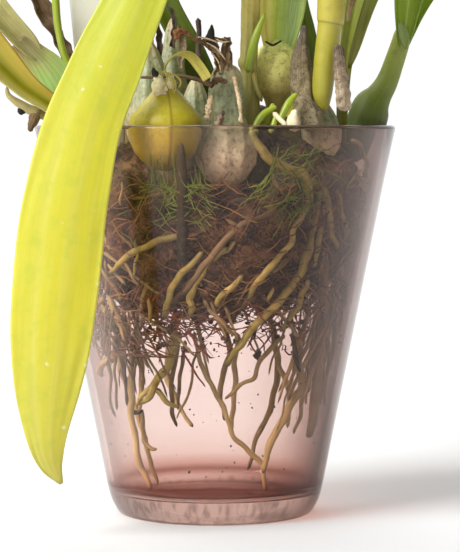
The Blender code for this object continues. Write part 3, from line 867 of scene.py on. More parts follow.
@dataclass
class Blade:
    """A leaf or strip: a thin sheet along a route, folded and pleated lengthwise."""

    name: str
    slot: str
    finish: Tissue
    points: Sequence[Point]
    across: tuple[Point, Point] = ((1, 0, 0), (1, 0, 0))
    fold: tuple[float, float] = (0.2, 0.2)
    pleats: int = 5
    pleat_mm: float = 0.2
    edge_wave_mm: float = 0.0
    crumple_mm: float = 0.0
    crumple_every_mm: float = 4.0
    thickness_mm: float = 0.6
    widths: int = 16
    step_mm: float = 2.5
    seed: float = 0.0

    def wrap_on(self, skin: Skin) -> None:
        """Add the blade to a mesh.

        Args:
            skin: the mesh under construction.
        """
        route = Route(self.points, self.across)
        count = max(int(route.length / self.step_mm), 8)
        stations = route.stations(count)

        def surface(u: float, v: float) -> Vector:
            """The blade's middle surface.

            Args:
                u: the share of its length.
                v: the share of its width.

            Returns:
                The point, in millimetres.
            """
            station = stations[round(u * count)]
            over = 2 * v - 1
            half = station.size / 2
            fold = self.fold[0] + (self.fold[1] - self.fold[0]) * u
            lift = fold * half * (math.sqrt(over * over + MIDRIB_ROUNDING) - MIDRIB_DROP)
            lift += self.pleat_mm * math.cos(math.pi * self.pleats * over) * min(half / 6, 1.0)
            spot = station.spot + station.side * over * half
            lift += self.edge_wave_mm * rough(spot, 25.0, self.seed + over) * abs(over) ** 3
            spot += station.up * lift
            if self.crumple_mm:
                creases = [rough(spot, self.crumple_every_mm, self.seed + k) for k in (2, 4, 6)]
                spot += Vector(creases) * self.crumple_mm
            return spot

        widest = max(s.size for s in stations)
        skin.wrap(count, self.widths, surface, (route.length, widest), closed=False)

    def build(self) -> bpy.types.Object:
        """Make the piece and fix it to the frame.

        Returns:
            The new object.
        """
        skin = Skin()
        self.wrap_on(skin)
        return settle(skin.object(self.name, self.finish, self.thickness_mm), self.slot, *own_node(self.name))


EGG: Sequence[tuple[float, float]] = ((0, 0), (0.04, 0.4), (0.2, 0.82), (0.45, 1.0), (0.7, 0.82), (0.88, 0.5),
                                      (0.97, 0.22), (1, 0))


@dataclass
class Pseudobulb:
    """A swollen stem base that fills its node's box, with the outline of its own kind."""

    # The share of the box's width that it fills, which leaves room for its ribs, and its small pores.
    FILL: ClassVar[float] = 0.97
    PORES: ClassVar[float] = 0.3
    PORE_MM: ClassVar[float] = 1.6

    node: str
    slot: str
    finish: Tissue
    outline: Sequence[tuple[float, float]] = EGG
    ribs: int = 0
    rib_depth: float = 0.0
    lump: float = 0.05
    lump_mm: float = 6.0
    along: int = 56
    around: int = 64
    seed: float = 0.0

    def build(self) -> bpy.types.Object:
        """Make the bulb and fix it to the frame.

        Returns:
            The new object.
        """
        low, high = (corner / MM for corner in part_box(self.node))
        foot = Vector(((low.x + high.x) / 2, (low.y + high.y) / 2, low.z))
        radius, height = (high.x - low.x) / 2, high.z - low.z
        line = Route([(width * radius, 0, share * height, 0) for share, width in self.outline])
        rings = line.stations(self.along)

        def surface(u: float, v: float) -> Vector:
            """The bulb's surface.

            Args:
                u: the share of its length.
                v: the share of its girth.

            Returns:
                The point, in millimetres.
            """
            ring = rings[round(u * self.along)].spot
            angle = 2 * math.pi * v
            out = Vector((math.sin(angle), -math.cos(angle), 0.0))
            centre = foot + Vector((0, 0, ring.z))
            spot = centre + out * ring.x
            ribs = self.rib_depth * math.cos(self.ribs * angle + 1.5 * rough(spot, 12.0, self.seed))
            lump = self.lump * rough(spot, self.lump_mm, self.seed)
            pores = self.PORES * self.lump * rough(spot, self.PORE_MM, self.seed)
            return centre + out * max(ring.x, 0.0) * (self.FILL + ribs + (lump + pores))

        skin = Skin()
        skin.wrap(self.along, self.around, surface, (height, 2 * math.pi * radius), closed=True)
        return settle(skin.object(self.node, self.finish), self.slot, self.node)


# ---------------------------------------------------------------- the pot


@dataclass
class GlassPot:
    """A straight-tapered tumbler with a thick floor and a round rim, sized from its node's box."""

    wall: float = 2.8
    floor: float = 8.3
    foot_radius: float = 34.3
    heel_radius: float = 39.1
    heel_height: float = 10.3
    steps: int = 160
    height: float = field(init=False)
    rim: float = field(init=False)

    def __post_init__(self) -> None:
        """Read the height and the rim from the frame."""
        low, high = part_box("glass_pot")
        self.height = high.z / MM
        self.rim = (high.x - low.x) / 2 / MM

    def inner(self, z: float) -> float:
        """The radius inside the wall at a height."""
        slope = (self.rim - self.heel_radius) / (self.height - self.heel_height)
        return self.heel_radius + slope * (z - self.heel_height) - self.wall

    def by_wall(self, x: float, z: float, inset: float) -> Vector:
        """The point this far in from the front glass."""
        reach = self.inner(z) - inset
        return Vector((x, -math.sqrt(max(reach * reach - x * x, 0.0)), z))

    def around_wall(self, angle: float, z: float, inset: float) -> Vector:
        """The point this far in from the glass, at an angle from the front."""
        reach = self.inner(z) - inset
        return Vector((reach * math.sin(angle), -reach * math.cos(angle), z))

    def _arc(self, centre: tuple[float, float], radius: float, start: float, end: float,
             count: int) -> list[Point]:
        """Outline points on an arc, its angles in degrees from outwards towards up."""
        angles = [math.radians(start + (end - start) * i / count) for i in range(count + 1)]
        return [(centre[0] + radius * math.cos(a), centre[1] + radius * math.sin(a)) for a in angles]

    def outline(self) -> list[Point]:
        """Draw the section from the floor's centre over the rim to the underside's centre.

        Returns:
            Points of radius and height.
        """
        corner = 5.0
        lip = self.wall / 2
        inside = self.inner(self.floor + corner)
        # The floor swells a little in the middle, and the underside is hollow inside its foot ring.
        points: list[Point] = [(0.0, self.floor + 0.25), (inside * 0.5, self.floor + 0.1)]
        points += self._arc((inside - corner, self.floor + corner), corner, -90, 0, 10)
        points += [(self.inner(z), z) for z in (30, 60, 90, 120)]
        points += self._arc((self.rim - lip, self.height - lip), lip, 180, 0, 12)
        points += [(self.inner(z) + self.wall, z) for z in (120, 90, 60, 30, 16)]
        points += [(self.heel_radius, self.heel_height), (self.heel_radius - 0.45, 8.0),
                   (self.heel_radius - 1.15, 5.6), (self.heel_radius - 2.1, 3.5),
                   (self.heel_radius - 3.2, 1.6), (self.foot_radius + 0.8, 0.45), (self.foot_radius, 0.0),
                   (self.foot_radius - 3.0, 0.0), (self.foot_radius - 6.0, 0.55), (0.0, 0.7)]
        return points

    def build(self) -> bpy.types.Object:
        """Turn the section into the pot and fix it to the frame.

        Returns:
            The new object.
        """
        mesh = bmesh.new()
        verts = [mesh.verts.new((r * MM, 0.0, z * MM)) for r, z in self.outline()]
        edges = [mesh.edges.new(pair) for pair in zip(verts, verts[1:])]
        bmesh.ops.spin(mesh, geom=verts + edges, axis=(0, 0, 1), cent=(0, 0, 0), angle=2 * math.pi,
                       steps=self.steps, use_merge=True)
        bmesh.ops.remove_doubles(mesh, verts=mesh.verts, dist=0.002 * MM)
        bmesh.ops.recalc_face_normals(mesh, faces=mesh.faces)
        for face in mesh.faces:
            face.smooth = True
        data = bpy.data.meshes.new("glass_pot")
        mesh.to_mesh(data)
        mesh.free()
        data.materials.append(FINISHES.get(TintedGlass()))
        piece = bpy.data.objects.new("pot_glass", data)
        bpy.context.scene.collection.objects.link(piece)
        return settle(piece, "tinted_glass", "glass_pot")


# ---------------------------------------------------------------- root mass


# A strand's points, the steepest angle of its run in radians, and the share that its radius loses to its tip.
STRAND_POINTS, STEEPEST, THINNING = 7, 1.4, 0.35
# How far a strand may reach below the core: one held by it, and one that hangs, being at least this steep.
HELD_REACH, HUNG_REACH, HANGS_FROM = 12, 52, 0.8


@dataclass
class RootMass:
    """The root ball: a ragged core of bark under a tangle of fibres, moss and fine roots."""

    pot: GlassPot
    top: float = 130.0
    bottom: float = 72.0
    inset: float = 5.0
    dip: float = 13.0
    heap: float = 17.0
    seed: int = SEED

    def top_at(self, x: float, y: float) -> float:
        """Find the height of the mass's top: low under the front bulbs, high behind them.

        Args:
            x: the place to the right of the pot's axis.
            y: the place behind it.

        Returns:
            The height, in millimetres.
        """
        front = min(max((-20 - y) / 14, 0.0), 1.0) * min(max((30 - abs(x + 4)) / 10, 0.0), 1.0)
        mound = math.exp(-((x - 13) / 30) ** 2 - ((y + 3) / 20) ** 2)
        return self.top - self.dip * front + self.heap * mound

    def core(self) -> bpy.types.Object:
        """Make the dark core.

        Returns:
            The new object.
        """

        def surface(u: float, v: float) -> Vector:
            """The core's lumpy surface.

            Args:
                u: the share of its height.
                v: the share of its girth.

            Returns:
                The point, in millimetres.
            """
            share = (1 - math.cos(math.pi * u)) / 2
            angle = 2 * math.pi * v
            # The sides are almost straight, and turn in only close to the top and the bottom.
            width = max(1 - abs(2 * share - 1) ** 6, 0.0) ** 0.5
            wall = self.pot.around_wall(angle, self.bottom + (self.top - self.bottom) * share, self.inset)
            x, y = wall.x * width, wall.y * width
            # The underside hangs in ragged lobes of two sizes, and lumps of two sizes cover the whole core.
            below = self.bottom + 5 + 10 * rough(Vector((x, y, 0)), 13.0) + 6 * rough(Vector((x, y, 9)), 5.0)
            spot = Vector((x, y, below * (1 - share) + self.top_at(x, y) * share))
            lump = Vector([rough(spot, 8.0, k) * 2.4 + rough(spot, 3.0, k + 3) * 1.5 for k in (1, 6, 11)])
            return spot + lump

        skin = Skin()
        skin.wrap(110, 280, surface, (self.top - self.bottom, 300.0), closed=True)
        return settle(skin.object("root_ball_core", MEDIUM), "root_fibre", "root_ball")

    def crumbs(self, count: int = 340) -> bpy.types.Object:
        """Make the crumbs of bark that hang in the roots under the core.

        Args:
            count: how many crumbs.

        Returns:
            The new object.
        """
        dice = random.Random(self.seed)
        skin = Skin()
        for index in range(count):
            angle = dice.uniform(-math.pi, math.pi)
            # Most crumbs hang just under the core, spread evenly over the pot's width.
            z = dice.triangular(self.bottom - 13, self.bottom + 12, self.bottom + 5)
            depth = (self.pot.inner(z) - 3) * (1 - math.sqrt(dice.uniform(0.05, 1.0)))
            centre = self.pot.around_wall(angle, z, depth + 2.5)
            size = dice.uniform(0.3, 1.0)
            stretch = Vector([dice.uniform(0.5, 1.7) for _ in range(3)])

            def surface(u: float, v: float) -> Vector:
                """One crumb's surface.

                Args:
                    u: the share of its height.
                    v: the share of its girth.

                Returns:
                    The point, in millimetres.
                """
                turn = 2 * math.pi * v
                out = Vector((math.cos(turn) * math.sin(math.pi * u), math.sin(turn) * math.sin(math.pi * u),
                              math.cos(math.pi * u)))
                return centre + out * stretch * size * (1 + rough(out, 0.9, index))

            skin.wrap(6, 8, surface, (size * 3, size * 6), closed=True)
        return settle(skin.object("root_ball_crumbs", MEDIUM), "root_fibre")

    def dirt(self, count: int = 150) -> bpy.types.Object:
        """Make the grains of dirt that stick to the inside of the glass.

        Args:
            count: how many grains.

        Returns:
            The new object.
        """
        dice = random.Random(self.seed + 1)
        skin = Skin()
        for index in range(count):
            z = dice.uniform(14, self.bottom)
            spot = self.pot.around_wall(dice.uniform(-math.pi, math.pi), z, 0.3)
            size = dice.uniform(0.15, 0.55)
            end = spot + Vector((dice.uniform(-1, 1) * size, 0, dice.uniform(0.6, 2.5) * size))
            Rod("grain", "", CHAR_BROWN, [(*spot, size), (*end, size * 0.6)], around=5, step_mm=0.4,
                seed=index).wrap_on(skin)
        return settle(skin.object("glass_dirt", CHAR_BROWN), "root_fibre")

    def strand(self, skin: Skin, dice: random.Random, length: float, radius: float,
               inset: tuple[float, float], spread_z: tuple[float, float], steep: float, sides: int,
               step: float, arc: tuple[float, float] = (-math.pi, math.pi)) -> None:
        """Lay one strand over the ball.

        Args:
            skin: the mesh under construction.
            dice: the source of chance.
            length: the strand's length.
            radius: its radius.
            inset: how far in from the glass it may lie, least and most.
            spread_z: the lowest and highest start.
            steep: the share of its run that goes downwards.
            sides: how many sides it has.
            step: the length of one stretch.
            arc: the angles from the front between which it starts.
        """
        angle = dice.uniform(*arc)
        z = dice.uniform(*spread_z)
        depth = dice.uniform(*inset)
        heading = dice.choice((-1, 1))
        swing = dice.uniform(-1.0, 1.0)
        points = []
        lowest = self.bottom - (HUNG_REACH if steep >= HANGS_FROM else HELD_REACH)
        for i in range(STRAND_POINTS):
            reach = self.pot.inner(z) - depth
            points.append((*self.pot.around_wall(angle, z, depth),
                           radius * (1.0 - THINNING * i / STRAND_POINTS)))
            swing = max(min(swing + dice.uniform(-0.8, 0.8), 1.2), -1.2)
            down = steep + (1 - steep) * swing * 0.6
            run = length / STRAND_POINTS
            angle += heading * run * math.cos(down * STEEPEST) / reach
            ceiling = self.top_at(*self.pot.around_wall(angle, z, depth).xy) + 3
            z = min(max(z - run * math.sin(down * STEEPEST), lowest), ceiling)
            depth = min(max(depth + dice.uniform(-1.5, 1.5), inset[0]), inset[1])
        Rod("strand", "", FIBRE_BROWN, points, around=sides, step_mm=step, lump=0.0,
            seed=dice.random()).wrap_on(skin)

    def tangle(self, name: str, finish: Tissue, count: int, **how) -> bpy.types.Object:
        """Make one object of many strands.

        Args:
            name: the object's name.
            finish: its finish.
            count: how many strands.
            how: length, radius (each a range) and what strand takes.

        Returns:
            The new object.
        """
        dice = random.Random(self.seed + count)
        skin = Skin()
        length, radius = how.pop("length"), how.pop("radius")
        for _ in range(count):
            self.strand(skin, dice, dice.uniform(*length), dice.uniform(*radius), **how)
        return settle(skin.object(name, finish), "root_fibre")

    def build(self) -> None:
        """Make the whole mass."""
        self.core()
        self.crumbs()
        self.dirt()
        low, high = self.bottom - 2, self.top - 4
        self.tangle("root_fibres_brown", FIBRE_BROWN, 700, length=(10, 34), radius=(0.14, 0.34),
                    inset=(2.2, 7.0), spread_z=(low, high), steep=0.15, sides=4, step=2.5)
        self.tangle("root_fibres_tan", FIBRE_TAN, 420, length=(8, 26), radius=(0.12, 0.3), inset=(1.2, 4.5),
                    spread_z=(low + 6, high), steep=0.2, sides=4, step=2.5)
        self.tangle("root_fibres_red", FIBRE_RED, 300, length=(6, 20), radius=(0.18, 0.46), inset=(1.4, 24.0),
                    spread_z=(low - 7, low + 14), steep=0.1, sides=4, step=2.0)
        self.tangle("moss_threads", MOSS, 70, length=(6, 18), radius=(0.12, 0.24), inset=(0.6, 4.0),
                    spread_z=(100, high + 3), steep=0.1, sides=4, step=2.0)
        self.tangle("moss_tuft_left", MOSS, 90, length=(5, 14), radius=(0.14, 0.28), inset=(0.5, 3.5),
                    spread_z=(108, 132), steep=0.5, sides=4, step=2.0, arc=(-0.4, -0.06))
        self.tangle("moss_tuft_right", MOSS, 110, length=(5, 16), radius=(0.14, 0.28), inset=(1.0, 5.0),
                    spread_z=(112, 134), steep=0.5, sides=4, step=2.0, arc=(0.3, 0.75))
        self.tangle("roots_hanging_thin", ROOT_TAN, 18, length=(14, 40), radius=(0.3, 0.7), inset=(3.0, 22.0),
                    spread_z=(low, low + 8), steep=0.9, sides=6, step=2.0, arc=(0.9, 5.4))
        self.tangle("roots_hanging_left", ROOT_BROWN, 26, length=(14, 40), radius=(0.3, 0.8),
                    inset=(1.6, 9.0), spread_z=(low - 4, low + 10), steep=0.85, sides=6, step=2.0,
                    arc=(-1.15, -0.6))
        self.tangle("roots_hanging_right", ROOT_TAN, 20, length=(22, 46), radius=(0.4, 1.0), inset=(2.0, 9.0),
                    spread_z=(low - 2, low + 12), steep=0.95, sides=6, step=2.0, arc=(0.8, 1.15))
        self.tangle("fibres_left", FIBRE_BROWN, 90, length=(6, 24), radius=(0.15, 0.34), inset=(0.8, 8.0),
                    spread_z=(low - 14, low + 8), steep=0.4, sides=4, step=2.0, arc=(-1.2, -0.5))
        self.tangle("roots_small", ROOT_TAN, 60, length=(16, 40), radius=(0.4, 0.9), inset=(2.5, 6.0),
                    spread_z=(low + 4, high - 8), steep=0.6, sides=7, step=2.0)


# ---------------------------------------------------------------- the plant


class Plant:
    """The orchid's own pieces, made group by group."""

    def __init__(self, pot: GlassPot) -> None:
        """Keep the pot that the plant stands in.

        Args:
            pot: the pot.
        """
        self.pot = pot

    def wall_route(self, points: Sequence[Point]) -> list[Point]:
        """Turn points of x, z, inset from the front glass and radius to a route.

        Args:
            points: the points, in millimetres.

        Returns:
            Points of x, y, z and radius.
        """
        return [(*self.pot.by_wall(x, z, inset), radius) for x, z, inset, radius in points]

    def rhizome(self) -> None:
        """The woody stem that creeps under the bulbs."""
        route = [(-42, -6), (-24, -10), (-6, -12), (10, -13), (24, -13), (37, -14), (47, -4), (46, 8)]
        Rod("rhizome", "rhizome_bark", ROOT_DARK, [(x, y, 121.0, 3.4) for x, y in route], lump=0.2,
            lump_mm=3.0).build()

    def bulbs(self) -> None:
        """The pseudobulbs."""
        dome = ((0, 0), (0.05, 0.4), (0.2, 0.8), (0.4, 0.98), (0.52, 1.0), (0.62, 0.93), (0.72, 0.76),
                (0.84, 0.5), (0.94, 0.27), (1, 0))
        flask = ((0, 0), (0.04, 0.45), (0.12, 0.8), (0.24, 1.0), (0.38, 0.9), (0.5, 0.7), (0.62, 0.6),
                 (0.78, 0.57), (0.87, 0.53), (0.95, 0.36), (1, 0))
        ball = ((0, 0), (0.05, 0.4), (0.25, 0.5), (0.44, 0.5), (0.52, 0.62), (0.58, 0.92), (0.7, 1.16),
                (0.82, 1.08), (0.93, 0.75), (1, 0))
        Pseudobulb("bulb_front", "bulb_yellow_green", BULB_YELLOW_PAINTED_LIGHT_AND_SHADE, dome, lump=0.03, seed=1).build()
        Pseudobulb("bulb_middle", "bulb_grey_green", BULB_GREY, flask, ribs=10, rib_depth=0.03, lump=0.12,
                   lump_mm=5.0, seed=2).build()
        Pseudobulb("bulb_speckled", "bulb_speckled", BULB_SPECKLED, ball, lump=0.06, seed=3).build()
        Pseudobulb("bulb_left", "bulb_grey_green", BULB_GREY, ribs=8, rib_depth=0.05, lump=0.12,
                   seed=4).build()
        Pseudobulb("bulb_left_rear", "bulb_grey_green", BULB_GREY, ribs=7, rib_depth=0.05, lump=0.12,
                   seed=5).build()
        Pseudobulb("bulb_small", "bulb_grey_green", BULB_GREY, ribs=7, rib_depth=0.05, seed=6).build()
        Pseudobulb("bulb_right_low", "bulb_grey_green", BULB_GREY, ribs=6, rib_depth=0.02, seed=7).build()
        Pseudobulb("bulb_back_left", "bulb_speckled", BULB_SPECKLED, lump=0.08, seed=8).build()
        Pseudobulb("bulb_back_right", "bulb_yellow_green", BULB_YELLOW_PAINTED_LIGHT_AND_SHADE, lump=0.05, seed=9).build()

    def stems(self) -> None:
        """Stems, the petiole at the right and the green shoots."""
        Rod("stem_khaki", "stem_khaki", STEM_KHAKI,
            [(11, -22, 126, 3.6), (11.2, -22, 138, 4.3), (11.8, -22, 150, 3.9), (12.0, -22.3, 159, 2.9),
             (11.6, -22.4, 162, 3.5), (12, -22.8, 165, 3.0), (12.6, -23.6, 182, 3.3),
             (13, -24.5, 199.5, 3.6)], ribs=9, rib_depth=0.05, around=40, lump=0.07).build()
        Rod("stem_yellow", "stem_yellow", STEM_YELLOW,
            [(38.6, -33, 144.8, 0.7), (38.0, -33, 147.4, 2.2), (37.5, -33, 151, 3.4), (38.0, -33, 158, 3.9),
             (39.2, -33, 168, 4.1), (40.0, -33, 174.8, 4.2), (40.3, -33, 176.4, 4.8), (40.6, -33, 186, 4.8),
             (42, -32, 207.5, 4.6)], around=36, lump=0.03).build()
        Rod("petiole_right", "stem_green", PETIOLE,
            [(47, 3, 125.5, 5.6), (50.5, 3, 132, 7.2), (54.4, 3, 140, 7.7), (56.6, 3, 146.6, 7.3),
             (59.4, 3, 151, 5.0), (61.8, 3, 155, 4.3), (63.8, 3, 160, 4.0), (66.4, 2, 168, 3.7),
             (68.3, 2, 175.5, 3.1)], around=40, lump=0.06,
            lump_mm=9.0, flat=0.85).build()
        Rod("stem_young_left", "stem_green", SHOOT_GREEN,
            [(-43, -23, 150, 1.2), (-52, -22, 163, 1.2), (-55, -20, 174, 1.3), (-56, -19, 185, 1.4),
             (-58, -18, 210, 1.3), (-63, -19, 238, 1.0), (-71, -22, 262, 0.4)]).build()
        Rod("shoot_tall", "stem_green", SHOOT_GREEN, [(11.6, -28.5, 158, 1.3), (12.4, -28.3, 163, 1.5),
                                                      (14.5, -28, 171, 1.5), (17.5, -27, 179, 0.5)]).build()
        shoots = {"shoot_rim_near": [(22, -40, 140, 1.0), (24, -38.5, 144.5, 1.3), (26, -37.5, 148, 1.3),
                                     (28.6, -36, 151, 0.7)],
                  "shoot_rim_far": [(14, -42, 136, 1.0), (14.6, -41, 140.5, 1.2), (17.4, -40, 144, 1.3),
                                    (21.5, -39, 146.5, 0.7)],
                  "shoot_rim_third": [(17.5, -39, 138, 0.9), (18.4, -37, 143, 1.2), (20.5, -36, 147.6, 0.7)],
                  "shoot_rim_fourth": [(19, -42, 136, 0.9), (20.4, -41.6, 140, 1.1), (21.2, -41, 143.4, 0.7)]}
        for name, points in shoots.items():
            Rod(name, "stem_green", SHOOT_GREEN, points, step_mm=0.5).build()
        Rod("stalk_olive", "stem_green", STEM_KHAKI, [(16.6, -27, 148, 0.8), (14.6, -27.5, 153, 0.9),
                                                      (13.4, -28, 159, 0.7)]).build()
        Rod("root_stub_rim", "root_tan", DRY_CREAM, [(20, -44, 144.5, 0.9), (22.5, -45, 142, 0.9),
                                                     (25, -46, 139.5, 0.8)]).build()
        Rod("wedge_cream", "dry_straw", DRY_CREAM, [(27.5, -39, 136.5, 2.6), (27, -38.5, 141, 2.4),
                                                    (28, -38, 145.5, 0.8)], lump=0.3, lump_mm=2.0,
            step_mm=0.5).build()

    def front_leaf(self) -> None:
        """The long strap leaf that arches over and hangs in front of the pot."""
        points = [(-24.5, -12, 171.6, 4.5), (-26, -13, 190, 6), (-22, -17, 209, 10), (-17, -28, 222, 14),
                  (-15.5, -42, 221, 17), (-18.5, -53, 205, 19), (-26.5, -60, 182, 21), (-35.5, -64, 161, 24),
                  (-43.6, -67, 140, 26), (-48.5, -69.5, 119, 28), (-51.5, -71, 97, 29),
                  (-54, -71.5, 72, 27.5), (-55.6, -70, 52, 22), (-56.2, -68, 36, 14), (-54.8, -65.5, 26, 8),
                  (-51.5, -63, 19.2, 0.8)]
        Blade("leaf_front", "leaf_yellow_green", LEAF_FRONT, points, ((1, 0, 0), (1, 0.1, 0)),
              fold=(0.2, 0.12), pleats=5, pleat_mm=0.035, edge_wave_mm=0.7, crumple_mm=0.5,
              crumple_every_mm=22.0, thickness_mm=0.7, widths=40, step_mm=2.0).build()

    def upper_leaves(self) -> None:
        """The leaves that stand over the pot."""
        facing = ((1, 0, 0), (1, 0.2, 0))
        Blade("leaf_broad", "leaf_broad_green", LEAF_BROAD,
              [(22, -15, 158, 4), (22.4, -15, 165, 9), (22.8, -14.5, 171, 13), (23.3, -13.8, 180, 16.5),
               (24, -13.5, 190, 18), (26, -14, 215, 22), (32, -14, 250, 27), (42, -8, 285, 26),
               (57, 2, 312, 19), (74, 14, 326, 9), (86, 22, 329, 0.6)], facing, fold=(0.5, 0.3),
              edge_wave_mm=0.8, widths=28, pleats=7, pleat_mm=0.12).build()
        Rod("mark_black", "dry_brown", CHAR, [(17.6, -22.6, 169.4, 0.3), (20.0, -23.0, 168.0, 0.4),
                                              (21.2, -23.0, 168.3, 0.4), (23.6, -22.4, 169.6, 0.3)], lump=0.3,
            lump_mm=1.0, step_mm=0.4, around=8).build()
        Blade("leaf_khaki", "leaf_khaki", LEAF_KHAKI,
              [(13.0, -24.5, 192, 5.5), (13.2, -24.5, 199, 7.4), (12, -25, 215, 12), (6, -27, 245, 17),
               (-4, -34, 272, 18), (-18, -44, 291, 15), (-34, -54, 298, 8), (-45, -60, 295, 0.6)],
              ((1, 0, 0), (0.8, -0.6, 0)), fold=(0.8, 0.2), edge_wave_mm=0.8, widths=20).build()
        Blade("leaf_yellow_stem", "leaf_khaki", LEAF_KHAKI,
              [(42, -32, 198, 7), (42.2, -32, 206, 9), (43.5, -31, 222, 14), (49, -29, 252, 19),
               (60, -28, 282, 19), (77, -28, 305, 15), (98, -30, 316, 8), (112, -32, 315, 0.6)],
              ((1, 0, 0), (0.6, -0.8, 0)), fold=(0.9, 0.25), edge_wave_mm=0.8, widths=20).build()
        Blade("leaf_dark_back", "leaf_dark_green", LEAF_DARK_WITH_PAINTED_SHADE,
              [(2, 11, 126, 12), (-3.4, 12, 145, 14), (-5.8, 12.2, 156, 13), (-8.8, 12.5, 166, 10.5),
               (-19, 13, 186, 10), (-29, 15, 215, 14), (-37, 19, 250, 17), (-43, 27, 285, 14),
               (-48, 38, 312, 7), (-51, 45, 322, 0.6)], facing, fold=(0.4, 0.2), edge_wave_mm=0.6, pleats=3,
              pleat_mm=0.1).build()
        Blade("leaf_dark_right", "leaf_dark_green", LEAF_DARK_WITH_PAINTED_SHADE,
              [(34, 0, 126, 5), (34.5, -1, 145, 5), (36, -3, 159, 6), (33.5, -4, 173, 5), (30, -4, 190, 5),
               (31, -2, 214, 8), (38, 4, 240, 8), (46, 12, 258, 0.6)], facing,
              fold=(0.4, 0.3)).build()
        Blade("leaf_vee_inner", "leaf_fresh_green", LEAF_VEE,
              [(45, -9, 131, 3), (45.5, -11, 150, 4), (46.5, -13.5, 164, 5), (50.5, -15, 186, 7.5),
               (58, -14, 215, 12), (69, -10, 250, 15), (84, -2, 280, 11), (96, 6, 296, 0.6)],
              ((1, 0, 0), (1, -0.3, 0)), fold=(0.8, 0.3), pleats=1, pleat_mm=0.1).build()
        Blade("leaf_vee_outer", "leaf_fresh_green", LEAF_VEE,
              [(47.4, -18, 160, 0.8), (49.5, -19, 167, 3), (55.5, -20, 185, 4.5), (67, -22, 213, 9),
               (83, -26, 240, 11), (103, -31, 258, 8), (119, -35, 263, 0.6)], ((1, 0, -0.4), (0.5, -0.8, 0)),
              fold=(0.5, 0.3), pleats=1, pleat_mm=0.1).build()
        Blade("leaf_back_left", "leaf_dark_green", LEAF_DARK_WITH_PAINTED_SHADE,
              [(-26, 27.5, 160, 3), (-26.6, 28.4, 168, 7), (-29, 31, 185, 10), (-36, 42, 215, 18),
               (-46, 60, 243, 23), (-58, 82, 258, 21), (-71, 104, 254, 13), (-80, 118, 241, 0.6)],
              ((1, 0, 0), (0.8, 0.5, 0)), fold=(0.5, 0.2), edge_wave_mm=1.0, widths=24).build()
        Blade("leaf_back_right", "leaf_broad_green", LEAF_BROAD,
              [(27.4, 24, 156, 3), (26.8, 25, 165, 7), (26, 27, 185, 10), (28, 36, 222, 19),
               (36, 54, 256, 24), (48, 78, 276, 20), (62, 102, 276, 11), (71, 117, 266, 0.6)],
              ((1, 0, 0), (0.8, -0.5, 0)), fold=(0.5, 0.2), edge_wave_mm=1.0, widths=24).build()

    def left_leaves(self) -> None:
        """The folded yellow leaf, the sheathed leaf and the dry strip at the left."""
        Blade("leaf_left_folded", "leaf_yellow", LEAF_YELLOW,
              [(-41, -25, 133, 4.5), (-48.6, -27, 139.8, 5.5), (-57.2, -30, 147, 6.8),
               (-66.2, -33, 153.4, 9.2), (-77.8, -37, 164.8, 13.8), (-96, -43, 183, 18),
               (-120, -50, 198, 20), (-148, -57, 203, 18), (-174, -62, 196, 10), (-188, -64, 187, 0.6)],
              ((0.55, 0.25, 0.8), (0.1, 0.9, 0.4)), fold=(0.7, 0.3), edge_wave_mm=0.6, widths=28, pleats=1,
              pleat_mm=0.1).build()
        Blade("sheath_left", "sheath_khaki", SHEATH_LEFT,
              [(-45, -8, 130, 22), (-50.5, -9, 144, 21.5), (-55.2, -10, 152.5, 18.5), (-60, -10.5, 160, 14),
               (-64.7, -11, 165.5, 9.4), (-69.4, -11.5, 170.4, 7.2)], ((0.75, 0.25, 0.6), (0.7, 0.3, 0.7)),
              fold=(-0.2, -0.3), pleats=9, pleat_mm=0.1, edge_wave_mm=0.4, widths=36,
              step_mm=1.0).build()
        Blade("leaf_left_upper", "sheath_khaki", LEAF_PALE,
              [(-62, -8.6, 163, 3), (-67, -9.6, 168, 8.2), (-77, -11.4, 178.5, 9.8), (-92, -12, 196, 13),
               (-110, -10, 217, 16), (-133, -6, 236, 16), (-158, 0, 246, 10), (-174, 4, 247, 0.6)],
              ((0.6, 0.4, 0.65), (0.2, 1, 0)), fold=(0.8, 0.3), edge_wave_mm=0.6,
              widths=20).build()
        Blade("strip_brown_left", "dry_brown", DRY_BROWN,
              [(-46, 2, 142, 3.4), (-51, 2, 160, 4.4), (-58, 1, 175, 5.5), (-64, 0, 187, 6.4),
               (-70, 0, 201, 5), (-72, 1, 209, 0.8)], fold=(0.5, 0.6),
              crumple_mm=1.3, crumple_every_mm=4.0, thickness_mm=0.4, step_mm=1.0).build()
        Rod("root_rim_tip", "dry_brown", CHAR, [(-69, -26, 144.6, 1.5), (-66.6, -25.6, 145.4, 1.2),
                                                (-64.5, -25, 146.4, 0.8)], lump=0.3, lump_mm=1.5, step_mm=0.4,
            around=10).build()
        Rod("root_rim_stub", "root_tan", DRY_HUSK, [(-60, -24.5, 146.5, 1.6), (-62.4, -25.4, 143.4, 2.0),
                                                    (-64, -26, 140.2, 1.5), (-64.6, -26.4, 137.6, 0.8)],
            lump=0.4, lump_mm=1.8, step_mm=0.5, around=14).build()

